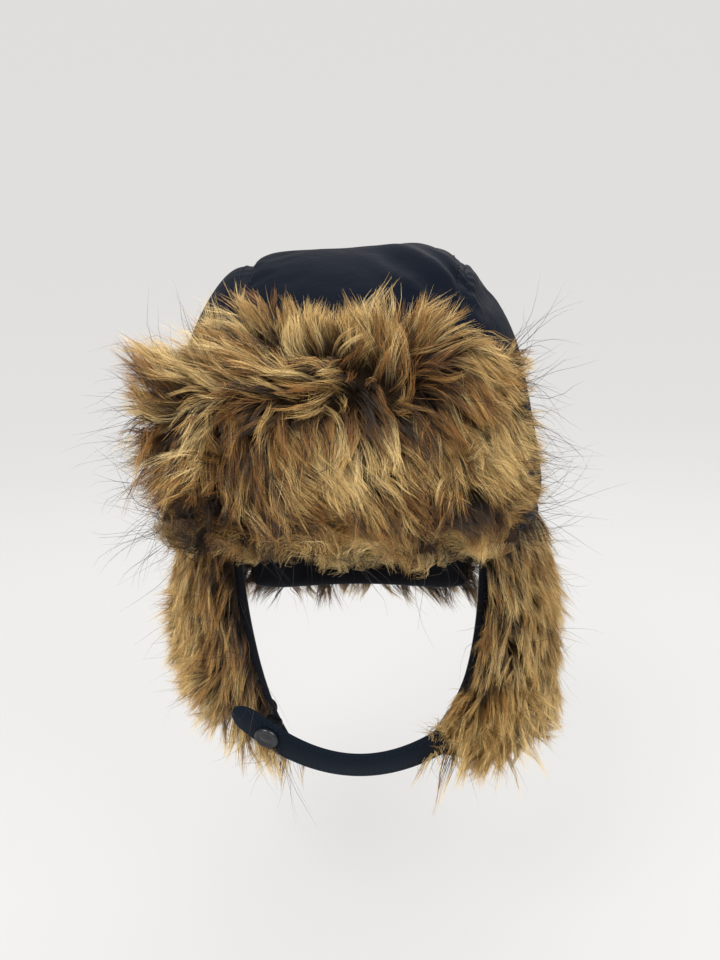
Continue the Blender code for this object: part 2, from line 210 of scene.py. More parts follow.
def subdivide(obj, levels=1):
    mod = obj.modifiers.new("Subdivision", "SUBSURF")
    mod.levels = levels
    mod.render_levels = levels
    apply_modifiers(obj)


def grid_slab(surface, us, vs, inner, outer, round_edge=0.0):
    """A closed slab between two offsets of surface(u, v, out); round_edge thins it towards its rim."""
    uu, vv = np.meshgrid(us, vs)
    uu, vv = uu.ravel(), vv.ravel()
    inside = inner(uu, vv) if callable(inner) else np.full(uu.shape, inner)
    outside = outer(uu, vv) if callable(outer) else np.full(uu.shape, outer)
    if round_edge:
        across = (uu - us[0]) / (us[-1] - us[0]) * 2 - 1
        down = (vv - vs[0]) / (vs[-1] - vs[0]) * 2 - 1
        edge = np.maximum(np.abs(across), np.abs(down))
        pinch = 1 - np.sqrt(np.clip(1 - np.clip((edge - 1 + round_edge) / round_edge, 0, 1) ** 2, 0.12, 1))
        middle = (inside + outside) / 2
        inside = inside + (middle - inside) * pinch
        outside = outside + (middle - outside) * pinch
    verts = np.concatenate([surface(uu, vv, inside), surface(uu, vv, outside)])
    near, far = np.arange(2 * len(uu)).reshape(2, len(vs), len(us))
    pairs = [
        (quads(near), quads(far, True)),
        (quads(np.stack([near[0], far[0]]), True), quads(np.stack([near[-1], far[-1]]))),
        (quads(np.stack([near[:, 0], far[:, 0]])), quads(np.stack([near[:, -1], far[:, -1]]), True)),
    ]
    faces = np.concatenate([np.stack(pair, axis=1).reshape(-1, 4) for pair in pairs])
    return verts, faces.tolist()


def face_out(obj):
    """Turns every face outward."""
    bm = bmesh.new()
    bm.from_mesh(obj.data)
    bmesh.ops.recalc_face_normals(bm, faces=bm.faces)
    bm.to_mesh(obj.data)
    bm.free()


# ---- Surfaces: each takes arrays u, v and an outward distance


def wall_point(angle, z, out):
    share = np.clip(z, 0.0, None) / CROWN_H
    share = (1.0 - np.clip(share, 0, 0.999) ** CROWN_POWER) ** (1.0 / CROWN_POWER)
    x = (CROWN_A * share + out) * np.cos(angle)
    y = (CROWN_B * share + out) * np.sin(angle)
    return np.stack([x, y, z + 0 * x], axis=-1)


def front_surface(u, v, out):
    """u from -1, the corner on the wearer's right, to 1; v from 0, the brow, to 1, the top edge."""
    sag = 1 - FRONT_SAG * smooth((np.abs(u) - 0.55) / 0.45)
    z = FRONT_FOOT + v * (FRONT_TOP - FRONT_FOOT) * sag
    flare = FRONT_FLARE * np.clip(-u, 0, None) ** 3
    return wall_point(-math.pi / 2 + u * FRONT_ANGLE, z, out + flare)


def ear_surface(shape):
    first, middle, last = shape["hem"]

    def point(u, v, out):
        share = np.clip(v, None, 1.0)
        front = -50.0 - 22.0 * np.clip(share, 0, 1) ** 2.5
        rear = 31.0 - 17.0 * share
        angle = np.radians(front + (rear - front) * (u + 1) / 2)
        half_a = EAR_TOP_A + shape["flare"] * np.sin(share * math.pi / 2)
        half_b = EAR_TOP_B - EAR_TUCK * share
        normal = unit(np.stack([np.cos(angle) / half_a, np.sin(angle) / half_b], axis=-1))
        x = half_a * np.cos(angle) + out * normal[..., 0]
        y = EAR_CENTRE_SHIFT * share + half_b * np.sin(angle) + out * normal[..., 1]
        drop = middle + (last - first) / 2 * u + ((last + first) / 2 - middle) * u * u
        return np.stack([shape["side"] * x, y, FLAP_TOP - v * drop], axis=-1)

    return point


def neck_surface(u, v, out):
    angle = math.pi / 2 - u * NECK_ANGLE
    half_b = NECK_B - NECK_TUCK * np.clip(v, None, 1.0)
    normal = unit(np.stack([np.cos(angle) / NECK_A, np.sin(angle) / half_b], axis=-1))
    x = NECK_A * np.cos(angle) + out * normal[..., 0]
    y = half_b * np.sin(angle) + out * normal[..., 1]
    return np.stack([x, y, FLAP_TOP - v * NECK_DROP * (1.0 - 0.12 * u**4)], axis=-1)


def dome_point(across, along, depth):
    """Maps the unit disc onto the crown: centre to top, edge to rim."""
    radius = np.clip(np.hypot(across, along), 0, 1)
    angle = np.arctan2(along, across)
    rise = (1.0 - radius) * math.pi / 2
    flat, tall = np.cos(rise), np.sin(rise)
    reach = (flat**CROWN_POWER + tall**CROWN_POWER) ** (-1.0 / CROWN_POWER)
    x = (CROWN_A - depth) * reach * flat * np.cos(angle)
    y = (CROWN_B - depth) * reach * flat * np.sin(angle)
    z = (CROWN_H - depth) * reach * tall
    return np.stack([x, y, z], axis=-1)


# ---- Materials


def new_material(name, colour, roughness):
    mat = bpy.data.materials.new(name)
    mat.use_nodes = True
    shader = mat.node_tree.nodes["Principled BSDF"]
    shader.inputs["Base Color"].default_value = (*colour, 1.0)
    shader.inputs["Roughness"].default_value = roughness
    return mat, mat.node_tree, shader


def node(tree, kind, **values):
    made = tree.nodes.new(kind)
    for key, value in values.items():
        if key in made.inputs.keys():
            made.inputs[key].default_value = value
        else:
            setattr(made, key, value)
    return made


def mixed_colour(tree, factor, low, high):
    mix = node(tree, "ShaderNodeMix", data_type="RGBA")
    tree.links.new(factor, mix.inputs["Factor"])
    for socket, value in ((6, low), (7, high)):
        if isinstance(value, tuple):
            mix.inputs[socket].default_value = (*value, 1.0)
        else:
            tree.links.new(value, mix.inputs[socket])
    return mix.outputs[2]


def scaled(tree, factor, low, high):
    spread = node(tree, "ShaderNodeMapRange")
    spread.inputs["To Min"].default_value = low
    spread.inputs["To Max"].default_value = high
    tree.links.new(factor, spread.inputs["Value"])
    return spread.outputs["Result"]


def add_bumps(tree, shader, layers):
    """Stacks bump nodes: layers lists (height socket, strength, distance in metres)."""
    last = None
    for height, strength, distance in layers:
        bump = node(tree, "ShaderNodeBump", Strength=strength, Distance=distance)
        tree.links.new(height, bump.inputs["Height"])
        if last is not None:
            tree.links.new(last.outputs["Normal"], bump.inputs["Normal"])
        last = bump
    tree.links.new(last.outputs["Normal"], shader.inputs["Normal"])


def weave_height(tree, place, pitch):
    """Two crossed sets of threads, pitch metres apart."""
    total = None
    for direction in ("X", "Y", "Z"):
        wave = node(tree, "ShaderNodeTexWave", wave_type="BANDS", bands_direction=direction)
        wave.inputs["Scale"].default_value = 0.314 / pitch
        wave.inputs["Distortion"].default_value = 0.4
        tree.links.new(place, wave.inputs["Vector"])
        if total is None:
            total = wave.outputs["Fac"]
            continue
        add = node(tree, "ShaderNodeMath", operation="MAXIMUM")
        tree.links.new(total, add.inputs[0])
        tree.links.new(wave.outputs["Fac"], add.inputs[1])
        total = add.outputs[0]
    return total


def cloth_material(name, colour, light, roughness, pitch, weave, crumple, sheen, gloss):
    """Woven cloth: its shade drifts from colour to light, with threads pitch apart and soft crumples."""
    mat, tree, shader = new_material(name, colour, roughness)
    shader.inputs["Sheen Weight"].default_value = sheen
    shader.inputs["Sheen Roughness"].default_value = 0.35
    shader.inputs["Sheen Tint"].default_value = (0.55, 0.65, 0.85, 1)
    shader.inputs["Specular IOR Level"].default_value = gloss
    shader.inputs["IOR"].default_value = 1.25
    place = node(tree, "ShaderNodeTexCoord").outputs["Object"]
    drift = node(tree, "ShaderNodeTexNoise", Scale=22.0, Detail=5.0, Roughness=0.6)
    grain = node(tree, "ShaderNodeTexNoise", Scale=900.0, Detail=2.0)
    fold = node(tree, "ShaderNodeTexNoise", Scale=48.0, Detail=4.0, Distortion=0.6)
    for texture in (drift, grain, fold):
        tree.links.new(place, texture.inputs["Vector"])
    shade = mixed_colour(tree, drift.outputs["Fac"], colour, light)
    tree.links.new(shade, shader.inputs["Base Color"])
    rough = scaled(tree, grain.outputs["Fac"], roughness - 0.07, roughness + 0.09)
    tree.links.new(rough, shader.inputs["Roughness"])
    threads = weave_height(tree, place, pitch)
    add_bumps(tree, shader, [(fold.outputs["Fac"], 0.35, crumple), (threads, weave, 0.0002)])
    return mat


def ramp(tree, factor, stops):
    """A colour ramp read at factor. A stop's colour may be a single grey level."""
    made = node(tree, "ShaderNodeValToRGB")
    tree.links.new(factor, made.inputs["Fac"])
    elements = made.color_ramp.elements
    while len(elements) > 1:
        elements.remove(elements[-1])
    for i, (place, colour) in enumerate(stops):
        element = elements[0] if i == 0 else elements.new(place)
        element.position = place
        if isinstance(colour, float):
            colour = (colour, colour, colour)
        element.color = (*colour, 1.0)
    return made.outputs["Color"]


def fur_material(name):
    """Reads the strand's own shade from u and the way from root to tip from v of its UV map."""
    mat, tree, shader = new_material(name, (0.3, 0.17, 0.07), 0.48)
    shader.inputs["Specular IOR Level"].default_value = 0.35
    uv = node(tree, "ShaderNodeUVMap", uv_map=UV_NAME)
    split = node(tree, "ShaderNodeSeparateXYZ")
    tree.links.new(uv.outputs["UV"], split.inputs["Vector"])
    tips = ramp(tree, split.outputs["X"], FUR_TIPS)
    roots = ramp(tree, split.outputs["X"], FUR_ROOTS)
    along = ramp(tree, split.outputs["Y"], FUR_ALONG)
    tree.links.new(mixed_colour(tree, along, roots, tips), shader.inputs["Base Color"])
    return mat


# Shade families along u: golden tan, brown, rust, and near black for the guard hairs
FUR_TIPS = [
    (0.00, (0.92, 0.69, 0.32)),
    (0.16, (0.73, 0.50, 0.185)),
    (0.38, (0.50, 0.295, 0.088)),
    (0.58, (0.37, 0.150, 0.032)),
    (0.74, (0.14, 0.075, 0.030)),
    (0.86, (0.045, 0.030, 0.020)),
    (1.00, (0.012, 0.011, 0.012)),
]
FUR_ROOTS = [
    (0.0, (0.060, 0.036, 0.020)),
    (0.62, (0.040, 0.022, 0.012)),
    (1.0, (0.014, 0.011, 0.010)),
]
FUR_ALONG = [(0.0, 0.0), (0.34, 0.05), (0.60, 0.50), (0.84, 1.0), (1.0, 1.0)]


def snap_material(name):
    mat, tree, shader = new_material(name, (0.004, 0.005, 0.007), 0.28)
    shader.inputs["Specular IOR Level"].default_value = 0.45
    place = node(tree, "ShaderNodeTexCoord").outputs["Object"]
    scratch = node(tree, "ShaderNodeTexNoise", Scale=400.0, Detail=4.0, Distortion=1.5)
    tree.links.new(place, scratch.inputs["Vector"])
    tree.links.new(scaled(tree, scratch.outputs["Fac"], 0.16, 0.40), shader.inputs["Roughness"])
    shade = mixed_colour(tree, scratch.outputs["Fac"], (0.003, 0.004, 0.006), (0.010, 0.012, 0.015))
    tree.links.new(shade, shader.inputs["Base Color"])
    return mat


# Cloths: colour, lighter colour, roughness, thread pitch, weave depth, crumple depth, sheen, gloss
CLOTHS = {
    "navy_nylon": ((0.0022, 0.0036, 0.0072), (0.0038, 0.0060, 0.0115), 0.55, 0.0007, 0.08, 0.004, 0.0, 0.09),
    "black_lining": ((0.006, 0.0065, 0.009), (0.011, 0.012, 0.016), 0.50, 0.0005, 0.08, 0.003, 0.08, 0.13),
    "black_binding": ((0.007, 0.0075, 0.010), (0.012, 0.013, 0.017), 0.60, 0.0009, 0.25, 0.001, 0.10, 0.13),
    "black_twill": ((0.010, 0.010, 0.011), (0.017, 0.017, 0.019), 0.80, 0.0008, 0.40, 0.001, 0.15, 0.13),
    "navy_strap": ((0.0035, 0.0060, 0.0105), (0.0060, 0.0100, 0.017), 0.62, 0.0008, 0.30, 0.001, 0.12, 0.13),
    "navy_thread": ((0.006, 0.009, 0.014), (0.012, 0.016, 0.023), 0.55, 0.0003, 0.30, 0.0005, 0.1, 0.13),
    "blank_label": ((0.52, 0.51, 0.49), (0.62, 0.61, 0.58), 0.80, 0.0006, 0.35, 0.001, 0.0, 0.13),
    "black_tape": ((0.010, 0.010, 0.012), (0.020, 0.020, 0.022), 0.90, 0.0016, 0.80, 0.001, 0.0, 0.13),
    "underfur": ((0.016, 0.011, 0.008), (0.050, 0.030, 0.016), 0.95, 0.0011, 0.6, 0.002, 0.0, 0.13),
}


def make_materials():
    mats = {name: cloth_material(name, *look) for name, look in CLOTHS.items()}
    mats["faux_fur"] = fur_material("faux_fur")
    mats["snap_lacquer"] = snap_material("snap_lacquer")
    return mats


# ---- Cloth simulation


def puff(obj, pressure, cap, pins=None, shrink=0.0, stiff=15.0, bend=0.5, frames=16):
    """Lets the cloth settle under inner pressure, without gravity; no point moves further than cap."""
    rest = mesh_points(obj)
    if pins is not None:
        group = obj.vertex_groups.new(name="pins")
        for weight, indices in pins:
            group.add([int(i) for i in indices], weight, "REPLACE")
    cloth = obj.modifiers.new("Cloth", "CLOTH")
    cloth.settings.quality = 6
    cloth.settings.mass = 0.2
    cloth.settings.tension_stiffness = stiff
    cloth.settings.compression_stiffness = stiff
    cloth.settings.bending_stiffness = bend
    cloth.settings.shrink_min = shrink
    cloth.settings.use_pressure = True
    cloth.settings.uniform_pressure_force = pressure
    cloth.settings.effector_weights.gravity = 0
    if pins is not None:
        cloth.settings.vertex_group_mass = "pins"
    cloth.collision_settings.use_collision = False
    cloth.point_cache.frame_start = 1
    cloth.point_cache.frame_end = frames
    scene = bpy.context.scene
    for number in range(1, frames + 1):
        scene.frame_set(number)
    shown = obj.evaluated_get(bpy.context.evaluated_depsgraph_get())
    moved = np.zeros(len(rest) * 3)
    shown.data.vertices.foreach_get("co", moved)
    moved = moved.reshape(-1, 3)
    obj.modifiers.clear()
    obj.vertex_groups.clear()
    scene.frame_set(1)
    shift = moved - rest
    far = np.linalg.norm(shift, axis=1, keepdims=True)
    shift *= np.minimum(1.0, cap / np.maximum(far, 1e-9))
    set_points(obj, rest + shift)


# ---- Crown

CROWN_ROWS = 64
CENTRE_COLUMNS = 26
SIDE_COLUMNS = 18
CROWN_SINK = 0.0052  # how far the whole top has sunk
CROWN_DIMPLE = 0.0062  # the deeper dip just right of its middle
CROWN_FOLD = 0.0012  # soft folds on the wearer's left
LEFT_DRAWN_IN = 0.0085
DOME_LEAN = np.array((1.0, 1.0, 0.8))  # turns a place on the crown into its outward direction
SHOULDER_WIDTH = 0.022
SHOULDERS = [(0.0048, 0.062, 0.146), (0.0030, -0.070, 0.142)]  # the full places by the seams: height, x, z
CREASE_START = np.array((0.008, 0.156))  # x and z
CREASE_END = np.array((0.056, 0.128))
SEAM_GROOVE = 0.0018
SEAM_GATHERS = 0.00045
RIM_GATHERS = 0.00035


def crown_grid():
    """The crown's three panels as one grid of disc places. Returns (across, along, seam columns)."""
    reach = math.sqrt(1 - CROWN_SEAM**2)
    rows = []
    for v in np.linspace(-1, 1, CROWN_ROWS + 1):
        seam_along = v * reach
        edge = math.sqrt(max(1 - seam_along**2, 0))
        out = np.linspace(0, 1, SIDE_COLUMNS + 1)[1:]
        side = CROWN_SEAM + out * (edge - CROWN_SEAM)
        middle = np.linspace(-CROWN_SEAM, CROWN_SEAM, CENTRE_COLUMNS + 1)
        across = np.concatenate([-side[::-1], middle, side])
        level = np.full(len(side), seam_along)
        along = np.concatenate([level, v * np.sqrt(1 - middle**2), level])
        rows.append((across, along))
    across = np.array([row[0] for row in rows])
    along = np.array([row[1] for row in rows])
    return across, along, (SIDE_COLUMNS, SIDE_COLUMNS + CENTRE_COLUMNS)


def slump(points):
    """How the soft crown has settled: sunken top, left side drawn in, full shoulders by the seams, folds."""
    x, y, z = points[:, 0], points[:, 1], points[:, 2]
    high = smooth((z - 0.09) / 0.06)
    sunk = CROWN_DIMPLE * high * bell(x + 0.010, 0.045) + CROWN_SINK * smooth((z - 0.07) / 0.08)
    full = np.zeros(len(points))
    for height, middle_x, middle_z in SHOULDERS:
        off_x, off_z = (x - middle_x) / SHOULDER_WIDTH, (z - middle_z) / SHOULDER_WIDTH
        full = full + height * np.exp(-(off_x**2) - off_z**2)
    fold = CROWN_FOLD * np.sin((x * 0.8 + y * 0.5 + z * 0.6) * 260) * high * bell(x - 0.04, 0.035)
    out = unit(points * DOME_LEAN)
    points = points + out * (full + fold + crease(x, y, z))[:, None]
    points[:, 2] -= sunk
    points[:, 0] -= LEFT_DRAWN_IN * smooth(z / 0.075) * smooth(x / 0.09)
    return points


def crease(x, y, z):
    """One sharper fold on the front, running down from the middle of the top to the left seam."""
    length = np.linalg.norm(CREASE_END - CREASE_START)
    way = (CREASE_END - CREASE_START) / length
    from_x, from_z = x - CREASE_START[0], z - CREASE_START[1]
    run = (from_x * way[0] + from_z * way[1]) / length
    off = from_x * way[1] - from_z * way[0] + 0.006 * np.sin(math.pi * np.clip(run, 0, 1))
    window = smooth(run / 0.3) * smooth((1.1 - run) / 0.3) * smooth(-y / 0.05)
    return window * (0.0024 * bell(off, 0.0045) - 0.0016 * bell(off - 0.009, 0.006))


def disc_place(points):
    """The unit disc place of points near the crown: the inverse of dome_point."""
    across, along, tall = points[:, 0] / CROWN_A, points[:, 1] / CROWN_B, points[:, 2] / CROWN_H
    radius = 1 - np.arctan2(tall, np.hypot(across, along)) / (math.pi / 2)
    angle = np.arctan2(along, across)
    return radius * np.cos(angle), radius * np.sin(angle)


def pucker(obj):
    """Fine gathers where the stitching draws the cloth together, and a crease down each seam."""
    points = mesh_points(obj)
    across, along = disc_place(points)
    out = unit(points * DOME_LEAN)
    total = np.zeros(len(points))
    for sign in (1, -1):
        off = (across - sign * CROWN_SEAM) * 0.16
        run = along * 0.20
        beat = np.sin(run * 560 + 1.3 * np.sin(run * 130 + sign)) * (0.6 + 0.4 * np.sin(run * 71))
        total += SEAM_GATHERS * beat * bell(off, 0.007)
        total -= SEAM_GROOVE * bell(off, 0.0019)
    turn = np.arctan2(points[:, 1], points[:, 0])
    rim = bell(points[:, 2], 0.009)
    total += RIM_GATHERS * rim * np.sin(turn * 64 + 1.5 * np.sin(turn * 13))
    set_points(obj, points + out * total[:, None])


def crown_sheet(name, material, depth, pressure, cap, sink):
    """One sheet over the crown, its seams pinned a little deeper than the panels, puffed by simulation."""
    across, along, seams = crown_grid()
    rows, columns = across.shape
    distance = np.minimum(np.abs(across - CROWN_SEAM), np.abs(across + CROWN_SEAM))
    valley = sink * bell(distance, 0.035)
    points = slump(dome_point(across, along, depth + valley).reshape(-1, 3))
    ids = np.arange(rows * columns).reshape(rows, columns)
    rim = np.hypot(across, along) > 0.999
    seam = np.zeros_like(rim)
    seam[:, list(seams)] = True
    obj = add_mesh(name, points, quads(ids).tolist(), material)
    weld_corners(obj)
    pins = nearest_ids(mesh_points(obj), points[ids[rim | seam]])
    puff(obj, pressure, cap, pins=[(1.0, pins)], shrink=-0.03, bend=0.3)
    return obj


def weld_corners(obj):
    """Merges the grid points that meet where the crown's rows end."""
    bm = bmesh.new()
    bm.from_mesh(obj.data)
    bmesh.ops.remove_doubles(bm, verts=bm.verts, dist=1e-6)
    bmesh.ops.dissolve_degenerate(bm, edges=bm.edges, dist=1e-7)
    bmesh.ops.recalc_face_normals(bm, faces=bm.faces)
    bm.to_mesh(obj.data)
    bm.free()


def nearest_ids(points, wanted):
    tree = KDTree(len(points))
    for i, point in enumerate(points):
        tree.insert(point, i)
    tree.balance()
    return sorted({tree.find(point)[1] for point in wanted})


def solidify(obj, thickness, offset):
    mod = obj.modifiers.new("Thickness", "SOLIDIFY")
    mod.thickness = thickness
    mod.offset = offset
    mod.use_even_offset = True
    apply_modifiers(obj)


def build_crown(mats):
    nylon, quilting = mats["navy_nylon"], mats["black_lining"]
    shell = crown_sheet("crown_cloth", nylon, depth=0.0004, pressure=2.5, cap=0.004, sink=0.0016)
    subdivide(shell, 2)
    pucker(shell)
    solidify(shell, SHELL, -1.0)
    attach(shell, "crown")
    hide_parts("crown_shell_centre", "crown_shell_left", "crown_shell_right")
    lining = crown_sheet("crown_inner_quilt", quilting, depth=WALL, pressure=-1.5, cap=0.003, sink=-0.001)
    subdivide(lining, 1)
    solidify(lining, QUILT, 1.0)
    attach(lining, "crown")
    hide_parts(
        "crown_wadding_centre",
        "crown_wadding_left",
        "crown_wadding_right",
        "crown_lining_centre",
        "crown_lining_left",
        "crown_lining_right",
    )
    stitch_crown(shell, mats)
    build_rim(mats)


def capsule(start, end, radius, lift, sides=6):
    """A short thread between two points, humped by lift along the third vector."""
    spine = []
    for t in (0.0, 0.2, 0.5, 0.8, 1.0):
        hump = math.sin(math.pi * t)
        spine.append(start + (end - start) * t + lift * hump)
    along = unit(end - start)
    side = unit(np.cross(along, lift))
    up = np.cross(side, along)
    last = len(spine) - 1
    verts = []
    for k, centre in enumerate(spine):
        size = radius * (0.45 if k in (0, last) else 1.0)
        for s in range(sides):
            angle = 2 * math.pi * s / sides
            verts.append(centre + size * (math.cos(angle) * side + math.sin(angle) * up))
    faces = tube_quads(len(spine), sides)
    faces.append(tuple(range(sides))[::-1])
    faces.append(tuple(last * sides + s for s in range(sides)))
    return verts, faces


CROWN_STITCH = (0.0028, 0.0014, 0.00028)  # length, gap, radius of the thread
STRAP_STITCH = (0.0022, 0.001, 0.0002)


def stitches(name, path, normals, material, length, gap, radius):
    """A row of stitches along a path of points on a surface with these normals."""
    path, normals = np.asarray(path), np.asarray(normals)
    run = np.concatenate([[0], np.cumsum(np.linalg.norm(np.diff(path, axis=0), axis=1))])
    verts, faces = [], []
    place = 0.0
    while place + length < run[-1]:
        ends = []
        for s in (place, place + length):
            ends.append(np.array([np.interp(s, run, path[:, k]) for k in range(3)]))
        up = np.array([np.interp(place, run, normals[:, k]) for k in range(3)])
        v, f = capsule(ends[0], ends[1], radius, unit(up) * radius * 1.2)
        faces += [tuple(i + len(verts) for i in face) for face in f]
        verts += v
        place += length + gap
    return add_mesh(name, verts, faces, material)


def on_surface(tree, points, lift):
    """Drops points onto a mesh and returns (places, normals)."""
    places, normals = [], []
    for point in points:
        place, normal, _, _ = tree.find_nearest(Vector(point))
        if np.dot(normal, np.array(point) - np.array([0, 0, 0.02])) < 0:
            normal = -normal
        places.append(np.array(place) + np.array(normal) * lift)
        normals.append(np.array(normal))
    return places, normals


def stitch_crown(shell, mats):
    """Topstitching on both sides of both seams."""
    tree = BVHTree.FromObject(shell, bpy.context.evaluated_depsgraph_get())
    along = np.linspace(-0.985, 0.985, 160) * math.sqrt(1 - CROWN_SEAM**2)
    for side, sign in (("left", 1), ("right", -1)):
        for row, shift in (("inner", -0.017), ("outer", 0.017)):
            across = np.full(len(along), sign * (CROWN_SEAM + shift))
            keep = np.hypot(across, along) < 0.99
            points = slump(dome_point(across[keep], along[keep], 0.0))
            places, normals = on_surface(tree, points, 0.00005)
            name = f"crown_stitches_{side}_{row}"
            row_piece = stitches(name, places, normals, mats["navy_thread"], *CROWN_STITCH)
            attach(row_piece, "crown")


# Bands round the rim: low and high edge, then depth of the inner and the outer face
RIM_TAPE = (-0.0040, -0.0004, 0.0145, -0.0006)
SWEATBAND = (0.0004, 0.0300, 0.0156, 0.0138)


def ring_band(name, sizes, material, rounding=0.0006, count=160):
    """An upright elliptical band with soft edges; inside and outside are depths below the crown's face."""
    low, high, inside, outside = sizes
    r = rounding
    profile = [
        (outside + r, low),
        (outside, low + r),
        (outside, high - r),
        (outside + r, high),
        (inside - r, high),
        (inside, high - r),
        (inside, low + r),
        (inside - r, low),
    ]
    verts = []
    for j in range(count):
        angle = 2 * math.pi * j / count
        ripple = 0.00025 * math.sin(angle * 37) + 0.0002 * math.sin(angle * 23 + 1)
        for depth, z in profile:
            x = (CROWN_A - depth + ripple) * math.cos(angle)
            y = (CROWN_B - depth + ripple) * math.sin(angle)
            verts.append((x, y, z))
    obj = add_mesh(name, verts, tube_quads(count, len(profile), True, closed=True), material)
    face_out(obj)
    return obj


def build_rim(mats):
    binding = ring_band("rim_tape", RIM_TAPE, mats["black_binding"], rounding=0.0010)
    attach(binding, "crown")
    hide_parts("rim_binding")
    band = ring_band("inner_sweatband", SWEATBAND, mats["black_twill"])
    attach(band, "crown")
    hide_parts("sweatband")


# ---- Flap pads


PAD_PRESSURE = 1.5
PAD_CAP = 0.0022  # how far a pad may puff
PAD_EDGE = 0.12


def flap_pad(name, surface, inner, outer, columns, rows, material):
    """A puffed, closed pad on a flap's surface."""
    us = np.linspace(-1.0, 1.0, columns)
    vs = np.linspace(0.0, 1.0, rows)
    verts, faces = grid_slab(surface, us, vs, inner, outer, round_edge=PAD_EDGE)
    pad = add_mesh(name, verts, faces, material)
    face_out(pad)
    puff(pad, PAD_PRESSURE, PAD_CAP, shrink=-0.02, bend=0.4, frames=12)
    subdivide(pad, 1)
    return pad


def build_pads(mats):
    board = (FRONT_OFF, FRONT_OFF + BOARD)
    pads = [
        ("front_flap_board", front_surface, *board, 44, 24, "navy_nylon", "front_flap"),
        ("neck_flap_quilt", neck_surface, -FLAP_PAD, -0.0004, 40, 20, "black_lining", "neck_flap"),
    ]
    stands_for = {
        "front_flap_board": ("front_flap_facing", "front_flap_stiffener"),
        "neck_flap_quilt": ("neck_flap_wadding", "neck_flap_lining"),
    }
    for which, shape in EAR_SHAPES.items():
        name = f"ear_flap_{which}_quilt"
        surface = ear_surface(shape)
        pads.append((name, surface, -FLAP_PAD, -0.0002, 36, 34, "black_lining", f"ear_flap_{which}"))
        cad = [f"ear_flap_{which}_{layer}" for layer in ("wadding", "lining", "face_edging")]
        stands_for[name] = tuple(cad)
    for name, surface, inner, outer, columns, rows, mat, body in pads:
        pad = flap_pad(name, surface, inner, outer, columns, rows, mats[mat])
        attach(pad, body)
        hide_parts(*stands_for[name])


# ---- Fur


class Patch:
    """A furred surface: surface(u, v, out), with v running up or down the hat."""

    def __init__(self, surface, base, downward):
        self.surface = surface
        self.base = base
        self.downward = downward

    def frame(self, u, v):
        """Place, the unit vector towards +u, the one up the hat, and the outward normal."""
        h = 1e-3
        p = self.surface(u, v, self.base)
        du = self.surface(u + h, v, self.base) - self.surface(u - h, v, self.base)
        dv = self.surface(u, v + h, self.base) - self.surface(u, v - h, self.base)
        out = self.surface(u, v, self.base + 0.01) - p
        right, up = unit(du), unit(dv)
        if self.downward:
            up = -up
        normal = unit(np.cross(right, up))
        flip = np.sign(np.sum(normal * out, axis=-1, keepdims=True))
        return p, right, up, normal * flip


def waves(u, v, seed, count=6, scale=3.0):
    """Smooth noise from about -1 to 1 over (u, v)."""
    rng = np.random.default_rng(seed)
    total = np.zeros_like(u)
    for _ in range(count):
        fu, fv = rng.normal(0, scale, 2)
        total += np.sin(fu * u + fv * v + rng.uniform(0, FULL_TURN))
    return total / math.sqrt(count / 2) * 0.6


def combed(comb, u, v):
    """Reads a comb chart, directions in degrees (0 towards +u, 90 up the hat), as smooth unit vectors."""
    chart = np.radians(np.array(comb["degrees"], float))
    us, vs = np.array(comb["u"], float), np.array(comb["v"], float)
    i = np.clip(np.searchsorted(vs, v) - 1, 0, len(vs) - 2)
    j = np.clip(np.searchsorted(us, u) - 1, 0, len(us) - 2)
    s = smooth((v - vs[i]) / (vs[i + 1] - vs[i]))
    t = smooth((u - us[j]) / (us[j + 1] - us[j]))

    def read(trig):
        grid = trig(chart)
        low = grid[i, j] * (1 - t) + grid[i, j + 1] * t
        high = grid[i + 1, j] * (1 - t) + grid[i + 1, j + 1] * t
        return low * (1 - s) + high * s

    return read(np.cos), read(np.sin)


